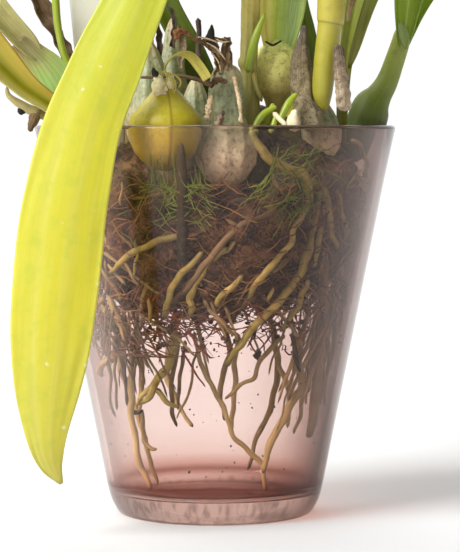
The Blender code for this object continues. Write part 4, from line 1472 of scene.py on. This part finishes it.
    def right_leaves(self) -> None:
        """The pair of leaves on the petiole at the right, and their bract."""
        Blade("leaf_right_near", "leaf_fresh_green", LEAF_FRESH,
              [(67.6, -0.6, 168, 3), (68.4, -0.8, 174, 6.2), (70, -1, 187, 10.5), (74, -5, 210, 17),
               (84, -11, 240, 22), (101, -17, 265, 22), (124, -22, 280, 16), (148, -26, 280, 7),
               (160, -28, 275, 0.6)], ((1, -0.1, 0), (0.5, -1, 0)), fold=(0.45, 0.25),
              edge_wave_mm=0.8, widths=24, pleats=3, pleat_mm=0.1).build()
        Blade("leaf_right_far", "leaf_fresh_green", LEAF_FRESH,
              [(68, 2.6, 166, 1.5), (69.4, 3.2, 173, 4.5), (76, 5, 187, 6.4), (90, 9, 211, 13),
               (108, 16, 235, 18), (130, 26, 249, 16), (152, 36, 250, 8), (164, 42, 245, 0.6)],
              ((1, 0.2, -0.3), (0.5, 0.8, 0)), fold=(0.5, 0.3), edge_wave_mm=0.8, widths=24, pleats=3,
              pleat_mm=0.1).build()
        Blade("bract_right", "bract_blue_green", BRACT,
              [(68.4, -4.0, 167.2, 1.0), (68.0, -4.4, 170, 2.9), (67.2, -4.8, 173.5, 3.2),
               (65.9, -5.3, 176.6, 0.9)], fold=(0.5, 0.4), thickness_mm=0.5, step_mm=0.6,
              pleats=1, pleat_mm=0.0).build()

    def dry_pieces(self) -> None:
        """Papery sheaths, husks, twigs and ribbons among the bulbs."""
        Rod("sheath_spotted_tall", "sheath_papery", PAPERY,
            [(34, -29.5, 136, 5.2), (33, -29, 143, 4.6), (31.2, -28.5, 150, 4.2), (30.2, -28, 158, 4.0),
             (30.2, -28, 165, 2.7), (30.8, -28, 171, 1.5), (31.2, -28, 174.8, 0.9)],
            around=44, ribs=7, rib_depth=0.05, lump=0.2, lump_mm=2.4, step_mm=0.6).build()
        Rod("sheath_spotted_short", "sheath_papery", PAPERY_LIGHT,
            [(45, -38, 144.7, 2.4), (44.4, -39.5, 151, 2.5), (43.2, -40.5, 160, 2.2),
             (42.4, -41, 167.7, 1.5)], around=32, ribs=5, rib_depth=0.08, lump=0.3, lump_mm=2.0,
            step_mm=0.5).build()
        self._husk()
        Rod("flower_dried", "dry_rust", DRY_RUST,
            [(-1.5, -42, 166, 0.4), (-4, -41.4, 168.2, 0.5), (-7, -40.6, 169.4, 0.5), (-9.2, -40, 171.2, 0.6),
             (-11.2, -39.6, 172.2, 1.1), (-12.8, -39.8, 171.2, 1.1), (-12.6, -40.4, 169.4, 0.7)],
            around=24, ribs=5, rib_depth=0.3, lump=0.9, lump_mm=0.9, step_mm=0.3).build()
        Blade("ribbon_dry", "dry_straw", DRY_STRAW,
              [(-17.5, -47, 156.4, 1.6), (-16.5, -47.5, 160.6, 2.2), (-13, -48, 164.2, 3.2),
               (-8.4, -48, 163.8, 3.9), (-5, -48.5, 160, 3.8), (-2.2, -49, 155.6, 3.4)],
              ((0.1, 1, 0.2), (0.9, 0.2, 0.5)), fold=(0.25, 0.1), pleats=5, pleat_mm=0.12, thickness_mm=0.35,
              step_mm=0.6).build()
        Rod("twig_cross", "dry_brown", DRY_BROWN, [(-26, -30, 156.5, 0.5), (-12.6, -35, 157.0, 0.6),
                                                   (-6, -41, 155.6, 0.7), (-0.6, -45.8, 153.6, 1.0)],
            lump=0.3, lump_mm=2.0).build()
        Rod("twig_upright", "dry_brown", CHAR_BROWN, [(-5.2, -28, 161.5, 1.4), (-5.6, -28, 166, 1.1),
                                                      (-5.4, -28, 172, 0.9), (-5.8, -28, 177.4, 1.0)],
            lump=0.2, lump_mm=2.0).build()
        Rod("strip_cream", "dry_straw", DRY_BUFF, [(9.2, -47.5, 140.5, 0.9), (9.0, -47, 144, 0.6),
                                                    (8.6, -46.5, 148, 0.8), (7.6, -45, 153, 0.7),
                                                    (7, -44.2, 156.8, 1.0)], lump=0.6,
            lump_mm=1.1, step_mm=0.35, around=14).build()
        Rod("strip_tan_right", "dry_straw", DRY_HUSK, [(46.5, -22, 176, 0.4), (47.5, -22, 181, 1.0),
                                                       (49, -21.5, 187, 0.9), (50.5, -21, 192, 0.4)],
            lump=0.4, lump_mm=2.0, step_mm=0.5).build()
        crusts = [[(-2.4, -46, 141.5, 1.1), (-1.8, -46.4, 146, 1.5), (-0.6, -46, 150.5, 0.7)],
                  [(0.6, -46.6, 139.5, 1.7), (2.0, -46.8, 142.4, 1.6), (3.2, -46.4, 145, 0.9)],
                  [(-1.6, -41.4, 153, 0.9), (1, -43, 155.4, 1.3), (4.6, -43, 154.6, 0.8)]]
        for index, points in enumerate(crusts):
            Rod(f"crust_{index + 1}", "dry_straw", (DRY_BUFF, PAPERY_LIGHT, DRY_BROWN)[index], points,
                lump=0.8, lump_mm=1.0, swell=0.8, step_mm=0.35, around=16, seed=index).build()
        strips = [[(-20.5, -8, 162, 2.0), (-19.6, -9, 168, 2.4), (-19.8, -8, 173.5, 1.8),
                   (-20.4, -7, 177, 0.5)],
                  [(-15.5, -2, 168, 2.2), (-14.2, -2.4, 174, 2.2), (-15, -1, 180, 1.4),
                   (-17.4, 0, 182.6, 0.5)],
                  [(-12.5, -1.6, 160, 2.0), (-11.6, -2, 168, 2.6), (-12.6, -1, 175, 1.0)]]
        for index, points in enumerate(strips):
            Blade(f"sheath_scrap_{index + 1}", "dry_brown", (CHAR_BROWN, CHAR_BROWN, PAPERY_LIGHT)[index],
                  points, ((1, 0, 0), (0.9, -0.4, 0)), fold=(0.7, 0.5), crumple_mm=0.8, crumple_every_mm=2.5,
                  thickness_mm=0.35, step_mm=0.7, widths=10, seed=index + 3).build()
        self._collar()

    def _husk(self) -> None:
        """The crumpled brown husk on top of the middle bulb."""
        skin = Skin()
        shreds = [((1.4, -37, 156, 2.6), (1.2, -39, 161, 3.2), (0.2, -40, 165, 3.2), (-1.4, -40, 168, 2.6),
                   (-3, -39.8, 169.8, 1.2)),
                  ((2.4, -37.6, 155.6, 3), (2.8, -39.4, 160.4, 3.4), (3.4, -39, 165, 3.6),
                   (3.8, -38, 168.2, 3.0), (4.0, -37.4, 169.8, 2.0)),
                  ((3.4, -37, 155.6, 2.2), (4.4, -37, 160, 2.4), (4.8, -36, 164, 2.2),
                   (4.4, -35.4, 166.4, 1.2)),
                  ((2, -41, 163, 1.4), (-0.8, -41.6, 166.2, 1.8), (-3.6, -42, 168.2, 1.5),
                   (-6, -42, 169.2, 0.8)),
                  ((4.2, -38.8, 168.2, 2.0), (2.4, -39.6, 169, 2.4), (0.2, -40, 168.4, 2.2),
                   (-2, -40.4, 167.2, 1.0))]
        for index, points in enumerate(shreds):
            Blade("shred", "", DRY_HUSK, points, ((1, 0.2, 0), (1, 0.7, 0.3)), fold=(0.9, 1.3),
                  crumple_mm=1.2, crumple_every_mm=1.8, widths=14, step_mm=0.6, seed=index).wrap_on(skin)
        settle(skin.object("husk_middle", DRY_HUSK, 0.3), "dry_brown", "husk_middle")
        Rod("shard_black", "dry_brown", CHAR, [(-2.2, -41.5, 167.6, 1.3), (-1.2, -41.5, 170.8, 1.4),
                                               (-0.8, -41.4, 174.6, 0.3)], around=10, lump=0.3, lump_mm=1.5,
            step_mm=0.6).build()
        skin = Skin()
        threads = [[(-3, -42.6, 168.4, 0.25), (1, -42.4, 166, 0.3), (4, -42, 162, 0.25)],
                   [(-6, -42.6, 170.2, 0.25), (-2.6, -43, 169.6, 0.3), (1.4, -42.6, 168.2, 0.25)],
                   [(0.4, -42.4, 169.6, 0.3), (2.8, -42, 168.4, 0.3), (5.6, -41, 168.8, 0.25)],
                   [(-1, -42, 165, 0.25), (1.4, -41.6, 161.6, 0.3), (2.4, -41, 157.4, 0.25)]]
        for index, points in enumerate(threads):
            Rod("thread", "", DRY_STRAW, points, around=6, step_mm=0.6, lump=0.0, seed=index).wrap_on(skin)
        settle(skin.object("husk_threads", DRY_BUFF), "dry_straw")

    def _collar(self) -> None:
        """The cream collar, its straw threads and the dried bits on the front bulb's top."""
        low, high = (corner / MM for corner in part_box("collar_front"))
        x, y, z = (low.x + high.x) / 2, (low.y + high.y) / 2, low.z
        skin = Skin()
        Blade("wrap", "", DRY_CREAM, [(x - 1.8, y - 7.0, z - 4.6, 3.6), (x - 2.0, y - 5.6, z - 2.4, 5.0),
                                      (x - 2.2, y - 4.0, z + 0.2, 4.2), (x - 2.6, y - 2, z + 2.2, 2.2)],
              fold=(-0.5, -0.9), crumple_mm=0.8, crumple_every_mm=1.7, widths=18,
              step_mm=0.5).wrap_on(skin)
        Blade("wrap", "", DRY_CREAM, [(x + 2.6, y - 3.4, z - 2.2, 3.0), (x + 2.0, y - 2.8, z + 0.4, 3.4),
                                      (x + 1.6, y - 1.4, z + 3, 1.6)],
              ((1, 0.5, 0), (1, 0.4, 0)), fold=(-0.5, -0.9), crumple_mm=0.6, crumple_every_mm=1.6, widths=10,
              step_mm=0.5, seed=2).wrap_on(skin)
        settle(skin.object("collar_front", DRY_CREAM, 0.4), "dry_straw", "collar_front")
        Rod("tuft_black", "dry_brown", CHAR, [(x - 2.8, y - 3, z + 1.4, 0.9), (x - 3.8, y - 3, z + 3.0, 1.0),
                                              (x - 4.4, y - 3, z + 4.6, 0.5)], around=12, lump=0.5,
            lump_mm=1.2, step_mm=0.35).build()
        skin = Skin()
        threads = [[(x - 1, y - 6, z - 3, 0.3), (x + 0.6, y - 6.4, z + 0.6, 0.3),
                    (x - 0.4, y - 4, z + 3.6, 0.3)],
                   [(x + 2.4, y - 6, z - 4, 0.3), (x + 2.6, y - 6.6, z - 0.6, 0.35),
                    (x + 0.8, y - 5, z + 2.4, 0.3), (x - 2.4, y - 3, z + 3.4, 0.25)],
                   [(x + 4.4, y - 5.4, z - 2.6, 0.3), (x + 5.2, y - 5.4, z - 0.2, 0.35),
                    (x + 3.4, y - 4.6, z + 1.8, 0.3), (x + 0.6, y - 3, z + 2.6, 0.25)],
                   [(x - 3, y - 4, z + 4, 0.3), (x + 1, y - 4.6, z + 2, 0.3), (x + 3.4, y - 5, z - 1.4, 0.3),
                    (x + 2.8, y - 6.6, z - 4.6, 0.2)]]
        for index, points in enumerate(threads):
            Rod("thread", "", DRY_STRAW, points, around=6, step_mm=0.5, lump=0.0, seed=index).wrap_on(skin)
        settle(skin.object("collar_threads", DRY_STRAW), "dry_straw")

    def large_root(self, name: str, slot: str, finish: Tissue, points: Sequence[Point]) -> None:
        """Make a large root, which wanders and swells a little.

        Args:
            name: the root's name, which is also its node's.
            slot: its material slot.
            finish: its finish.
            points: x, y, z and radius of each point, in millimetres.
        """
        Rod(name, slot, finish, points, lump=0.2, lump_mm=3.5, wander=0.9, wander_mm=6.0,
            swell=0.8).build()

    def roots(self) -> None:
        """The roots that show through the glass."""
        wall = self.wall_route
        Rod("root_dark_front", "root_dark", ROOT_DARK,
            wall([(-11.0, 134, 2.4, 0.7), (-10.9, 130, 2.2, 1.4), (-10.6, 121, 2.2, 1.9),
                  (-10.8, 108, 2.3, 2.0), (-10.5, 93, 2.2, 1.6)]), lump=0.15).build()
        self.large_root("root_trunk", "root_olive", ROOT_OLIVE,
                        wall([(12, 138, 4.5, 1.4), (18, 129, 4.5, 2.1), (24.5, 125.5, 4.5, 2.2),
                              (30.5, 122, 4.5, 2.2), (32.5, 113, 4.5, 1.6)]))
        self.large_root("root_olive_left", "root_olive", ROOT_OLIVE,
                        wall([(-11, 102, 3, 1.2), (-14.5, 102, 3, 1.5), (-23.6, 98.5, 3, 1.5),
                              (-29.8, 94.5, 3, 1.5), (-36.4, 88, 3.4, 0.9)]))
        self.large_root("root_olive_middle", "root_olive", ROOT_OLIVE,
                        wall([(4.5, 98, 4, 1.2), (-2, 93, 4, 1.5), (-3.8, 89.5, 4, 1.5), (-8.6, 81.5, 4, 1.6),
                              (-7.4, 78, 4, 1.5), (-8.2, 74.5, 4, 1.0)]))
        self.large_root("root_long_right", "root_olive", ROOT_OLIVE,
                        [*wall([(33, 104, 4, 1.5), (29.5, 89.5, 4, 1.8), (22.5, 80, 4, 1.9)]),
                         (13.5, -41, 71, 1.8), (3.6, -37, 56.5, 1.1)])
        self.large_root("root_pale_right", "root_tan", ROOT_TAN,
                        [*wall([(38, 96, 5, 1.6), (37.6, 80, 5, 2.2), (37, 66, 5, 2.2)]),
                         (34.5, -19, 43, 2.1), (33, -14, 28.5, 1.4)])
        self.large_root("root_thick_tan", "root_tan", ROOT_PALE,
                        [(29, -22, 66, 1.6), (29.5, -23, 55, 1.8), (30.5, -23.5, 48, 1.9),
                         (26.5, -24, 42, 1.8), (22.5, -24, 34.5, 1.7), (19, -24, 27, 1.6),
                         (17, -24, 17.5, 1.0)])
        self.large_root("root_long_tan", "root_tan", ROOT_PALE,
                        [(-8, -18, 67, 0.9), (-4.7, -18, 56, 1.1), (-1, -17, 48.5, 1.1), (3.3, -16, 39, 1.1),
                         (6.5, -15, 29, 1.1), (11, -13, 24.5, 1.1), (15.5, -12, 21, 1.1),
                         (17, -12, 17.5, 1.0), (18, -12, 9.4, 0.9)])
        self.large_root("root_hang_left", "root_tan", ROOT_PALE,
                        [(-28, -16, 66, 1.4), (-29.5, -15, 49, 1.6), (-29.5, -13, 36, 1.5),
                         (-28, -10, 24, 1.5), (-25, -8, 15, 1.3), (-22, -8, 9.8, 0.9)])
        self.large_root("root_fork_middle", "root_olive", ROOT_OLIVE,
                        [(-12, -24, 68, 1.7), (-16, -24.5, 56, 1.9), (-21, -25, 49, 1.8),
                         (-22.6, -25, 45, 1.6), (-25.5, -23, 41.5, 0.9)])
        Rod("root_over_rim", "root_tan", ROOT_PALE,
            [(-57.5, -23, 143.4, 1.5), (-62, -25, 144.2, 1.9), (-66.6, -26, 146.6, 1.6),
             (-70.2, -27, 148.8, 1.2), (-72.2, -27, 150.8, 0.9), (-72.6, -27, 153.6, 0.5)], lump=0.2,
            lump_mm=3.0).build()

    def small_roots(self) -> None:
        """The thinner roots that lie on the ball near the glass or hang below it."""
        near = [
            (ROOT_OLIVE, [(-4, 97, 3, 1.0), (-8.6, 92, 2.6, 1.5), (-12.3, 88, 2.6, 1.6),
                          (-15.7, 81, 2.8, 1.5), (-17, 73.5, 4, 1.3)]),
            (ROOT_BROWN, [(22, 111, 4.5, 1.0), (9.2, 106, 3.4, 1.5), (-2.8, 93, 3, 1.6), (-9.6, 84, 3.2, 1.5),
                          (-14.4, 78, 4, 1.2)]),
            (ROOT_OLIVE, [(10.5, 89, 3, 1.1), (5, 84, 2.8, 1.4), (-0.4, 78, 3.4, 1.1)]),
            (ROOT_OLIVE, [(31.5, 118, 4.5, 1.2), (31, 112.5, 3.6, 1.4), (27, 104, 3.4, 1.4),
                          (25, 98, 3.4, 1.3), (18.5, 91.5, 3, 1.6), (13.6, 84.5, 3, 1.5),
                          (10.5, 80, 3.4, 1.1)]),
            (ROOT_OLIVE, [(36.5, 119, 4.5, 1.3), (37.9, 115.7, 4, 1.5), (39.9, 104, 4, 1.5),
                          (43, 96, 5, 1.0)]),
            (ROOT_OLIVE, [(31.7, 87, 3.4, 1.2), (29.8, 82, 3.2, 1.5), (27.9, 76, 3.6, 1.2),
                          (22, 68, 6, 0.8)]),
            (ROOT_TAN, [(18.4, 125.6, 3.2, 0.7), (20.6, 121, 3, 0.9), (22.8, 116.4, 3.6, 0.6)]),
            (ROOT_TAN, [(36, 118, 5, 1.2), (33.5, 103, 4, 1.4), (31, 93, 4, 1.4), (29.6, 88, 5, 1.0)]),
            (ROOT_OLIVE, [(37.5, 113, 5, 1.1), (35.5, 99, 4.4, 1.4), (33.5, 90, 4.6, 1.1)]),
            (ROOT_OLIVE, [(41.5, 118, 5, 1.1), (43.5, 110, 4.4, 1.3), (45.8, 103, 5, 1.0), (47, 97, 6, 0.7)]),
            (ROOT_TAN, [(46, 134, 3, 0.9), (49, 133.5, 2.6, 1.1), (51.5, 129, 2.4, 1.0), (52.8, 123, 3, 0.9),
                        (55, 121, 3.6, 0.6)]),
            (ROOT_TAN, [(-31.5, 94.5, 3, 0.5), (-28.5, 89, 2.6, 0.8), (-26, 84.5, 3.2, 0.5)]),
            (ROOT_OLIVE, [(-26.2, 101, 3, 0.5), (-26.4, 94, 2.6, 0.7), (-27.4, 87.5, 3, 0.5)]),
            (ROOT_OLIVE, [(20.3, 85, 3, 0.8), (19.6, 82, 2.6, 1.0), (18.2, 79.5, 3, 0.6)]),
            (ROOT_TAN, [(-22.5, 80.5, 3, 0.9), (-21.8, 77, 2.6, 1.1), (-22, 73, 3, 0.8)]),
            (ROOT_TAN, [(-36.5, 81, 3, 1.4), (-33, 73, 3.4, 1.7), (-29.5, 65.5, 5, 1.2)]),
            (ROOT_OLIVE, [(-39.5, 80.5, 4, 1.2), (-37, 74, 4, 1.4), (-34.5, 70, 5, 1.0)]),
            (ROOT_TAN, [(-31.5, 121, 3, 0.6), (-31, 117, 2.6, 0.9), (-31.8, 112.5, 3, 0.6)]),
            (ROOT_TAN, [(42, 88, 6, 1.2), (40.5, 78, 5, 1.5), (39.5, 70, 6, 1.3), (37, 60, 9, 0.9)]),
            (ROOT_TAN, [(-4, 80, 3.4, 0.8), (2, 73, 3, 1.0), (7, 67.5, 4, 0.8)]),
        ]
        for index, (finish, points) in enumerate(near):
            Rod(f"root_near_{index + 1:02d}", "root_olive", finish, self.wall_route(points), lump=0.22,
                lump_mm=3.5, wander=1.0, wander_mm=5.0, seed=index, swell=0.74).build()
        hanging = [
            (ROOT_TAN, [(-29, -30, 72, 1.2), (-32, -27, 62, 1.5), (-38.4, -20, 56, 1.4),
                        (-39, -16, 51, 0.9)]),
            (ROOT_TAN, [(-28, -18, 65, 1.0), (-25.5, -16, 52, 1.2), (-26.5, -16, 43, 1.1),
                        (-26.6, -16, 38, 0.7)]),
            (ROOT_DARK, [(-33, -10, 58, 0.8), (-31, -10, 42, 0.9), (-29, -9, 37, 1.0), (-26, -9, 38, 0.9)]),
            (ROOT_PALE, [(-26.5, -8, 38, 1.0), (-25, -6, 25, 1.1), (-21, -4, 14, 0.9),
                         (-20.6, -3, 10.6, 0.6)]),
            (ROOT_TAN, [(-26, -11, 28, 0.8), (-23, -11, 24.6, 0.9), (-20.4, -11, 24.4, 0.6)]),
            (ROOT_OLIVE, [(-21, -24.5, 49, 1.5), (-25, -23, 46, 1.2), (-27, -21, 41, 0.8)]),
            (ROOT_OLIVE, [(-20.6, -24.5, 48, 1.3), (-17, -24, 43.5, 1.2), (-12.5, -23, 41, 0.7)]),
            (ROOT_BROWN, [(-12, -20, 66, 1.0), (-15, -19, 50, 1.1), (-15.4, -18, 40, 1.0),
                          (-13.5, -17, 33, 0.6)]),
            (ROOT_BROWN, [(-11, -14, 64, 0.8), (-12.6, -14, 50, 0.9), (-13.4, -14, 38.5, 0.6)]),
            (FIBRE_RED, [(-11.5, -30, 62, 0.4), (-7.5, -30, 55, 0.45), (-3.4, -30, 48.5, 0.3)]),
            (ROOT_TAN, [(-6.5, -10, 62, 0.5), (-9.3, -10, 45, 0.6), (-14, -10, 35, 0.4)]),
            (ROOT_TAN, [(24.5, -30, 67, 0.8), (19.5, -29, 62.5, 1.0), (16.5, -28, 58, 1.0),
                        (13, -27, 51, 1.0), (8, -26, 48, 0.9), (3.6, -25, 43.5, 0.6)]),
            (ROOT_PALE, [(7.5, 8, 64, 1.2), (7.3, 8, 50, 1.3), (6.8, 8, 38, 1.2), (5.4, 8, 28, 0.8)]),
            (ROOT_PALE, [(21, 4, 62, 1.0), (24.5, 4, 50, 1.2), (27, 4, 40, 1.1), (26.5, 4, 30, 0.7)]),
            (ROOT_DARK, [(27, -34, 68, 0.9), (27.6, -34, 61, 1.1), (29.5, -34, 54.5, 0.7)]),
            (ROOT_TAN, [(32, -20, 56, 0.5), (31.8, -20, 48, 0.6), (31, -20, 41, 0.4)]),
            (ROOT_TAN, [(20, 24, 70, 1.3), (24, 27, 52, 1.5), (22, 25, 38, 1.4), (16, 20, 26, 1.2),
                        (12, 16, 14, 0.8)]),
            (ROOT_PALE, [(-14, 28, 70, 1.4), (-18, 30, 52, 1.5), (-16, 27, 40, 1.3), (-9, 21, 28, 0.9)]),
            (ROOT_TAN, [(2, 34, 70, 1.2), (5, 36, 55, 1.4), (2, 32, 40, 1.2), (4, 27, 30, 0.7)]),
            (ROOT_TAN, [(-34, 12, 70, 1.3), (-36, 13, 54, 1.4), (-31, 12, 38, 1.3), (-25, 9, 24, 0.9)]),
            (ROOT_PALE, [(38, 12, 70, 1.1), (37, 13, 56, 1.3), (33, 11, 40, 1.1), (29, 8, 27, 0.7)]),
        ]
        for index, (finish, points) in enumerate(hanging):
            Rod(f"root_hanging_{index + 1:02d}", "root_tan", finish, points, lump=0.22, lump_mm=3.5,
                wander=1.1, wander_mm=7.0, seed=20 + index, swell=0.84).build()

    def label(self) -> None:
        """The blank plant label."""
        Blade("plant_label", "label_plastic", LABEL_PLASTIC,
              [(-39, 9, 118.6, 9), (-40.5, 9, 135, 15), (-44.2, 9, 176, 15.5), (-46.2, 9, 199, 15.5),
               (-46.6, 9, 203, 12)], fold=(0, 0), pleat_mm=0.0,
              thickness_mm=0.6, step_mm=1.5).build()

    def build(self) -> None:
        """Make every piece of the plant."""
        self.rhizome()
        self.bulbs()
        self.stems()
        self.front_leaf()
        self.upper_leaves()
        self.left_leaves()
        self.right_leaves()
        self.dry_pieces()
        self.roots()
        self.small_roots()
        self.label()


# ---------------------------------------------------------------- the studio


class LampSide(Enum):
    """A soft lamp, by the side on which it stands. The lamp at the front leaves no glint in the glass."""

    KEY = "key"
    FRONT = "front"
    BACK = "back"


@dataclass
class Studio:
    """A pale paper floor, soft lamps, white surroundings and the camera. Lengths are in millimetres."""

    distance: float = 891.0
    aim_x: float = 5.4
    eye_height: float = 140.0
    tilt_degrees: float = 3.5
    lens: float = 160.9
    sensor: float = 36.0
    nearest: float = 20.0
    paper: float = 40000.0
    sky_level: float = 0.1
    sky_behind: float = 0.92
    sky_right: float = 0.5

    def camera(self) -> None:
        """Place the camera in front of the pot, level with its rim and tilted down a little."""
        data = bpy.data.cameras.new("camera")
        data.lens = self.lens
        data.sensor_width = self.sensor
        data.clip_start = self.nearest * MM
        camera = bpy.data.objects.new("camera", data)
        camera.location = (self.aim_x * MM, -self.distance * MM, self.eye_height * MM)
        camera.rotation_euler = (math.radians(90 - self.tilt_degrees), 0.0, 0.0)
        bpy.context.scene.collection.objects.link(camera)
        bpy.context.scene.camera = camera

    def floor(self) -> None:
        """Lay the paper floor."""
        mesh = bmesh.new()
        bmesh.ops.create_grid(mesh, x_segments=1, y_segments=1, size=self.paper * MM)
        data = bpy.data.meshes.new("paper_floor")
        mesh.to_mesh(data)
        mesh.free()
        data.materials.append(FINISHES.get(SWEEP_PAPER))
        paper = bpy.data.objects.new("paper_floor", data)
        bpy.context.scene.collection.objects.link(paper)

    def sun(self, side: LampSide, towards: Point, spread_degrees: float, strength: float) -> None:
        """Hang one distant soft lamp.

        Args:
            side: which lamp it is.
            towards: the direction its light travels.
            spread_degrees: its width in the sky.
            strength: its power.
        """
        data = bpy.data.lights.new(side.value, "SUN")
        data.angle = math.radians(spread_degrees)
        data.energy = strength
        lamp = bpy.data.objects.new(side.value, data)
        lamp.rotation_euler = Vector(towards).to_track_quat("-Z", "Y").to_euler()
        lamp.visible_glossy = side is not LampSide.FRONT
        bpy.context.scene.collection.objects.link(lamp)

    def world(self) -> None:
        """Surround the set with light, dimmer from the camera's side and the right, and white when seen."""
        world = bpy.data.worlds.new("white_studio")
        bpy.context.scene.world = world
        world.use_nodes = True
        tree = world.node_tree
        look = add_node(tree, "SeparateXYZ", vector=add_node(tree, "TexCoord").outputs["Generated"])
        behind = spread(tree, look.outputs["Y"], -0.75, 0.8, self.sky_behind)
        right = spread(tree, look.outputs["X"], 0.15, 0.8, self.sky_right)
        light = reckon(tree, "ADD", reckon(tree, "SUBTRACT", behind, right), self.sky_level)
        shade = tree.nodes["Background"]
        shade.inputs["Color"].default_value = (1.0, 1.0, 1.0, 1.0)
        seen = add_node(tree, "LightPath").outputs["Is Camera Ray"]
        tree.links.new(reckon(tree, "MAXIMUM", light, seen), shade.inputs["Strength"])

    def build(self) -> None:
        """Set up the studio."""
        self.camera()
        self.floor()
        self.world()
        self.sun(LampSide.KEY, (0.8, 0.6, -0.75), 32, 4.6)
        self.sun(LampSide.FRONT, (-0.25, 1.0, -0.22), 60, 0.55)
        self.sun(LampSide.BACK, (0.3, -0.8, -0.9), 50, 0.9)
        bpy.context.scene.view_settings.view_transform = "Standard"


def main() -> None:
    """Build the pot, the root mass, the plant and the studio."""
    logging.basicConfig(level=logging.INFO, format="%(message)s")
    studio = Studio()
    studio.build()
    pot = GlassPot()
    pot.build()
    RootMass(pot).build()
    Plant(pot).build()


if __name__ == "__main__":
    main()
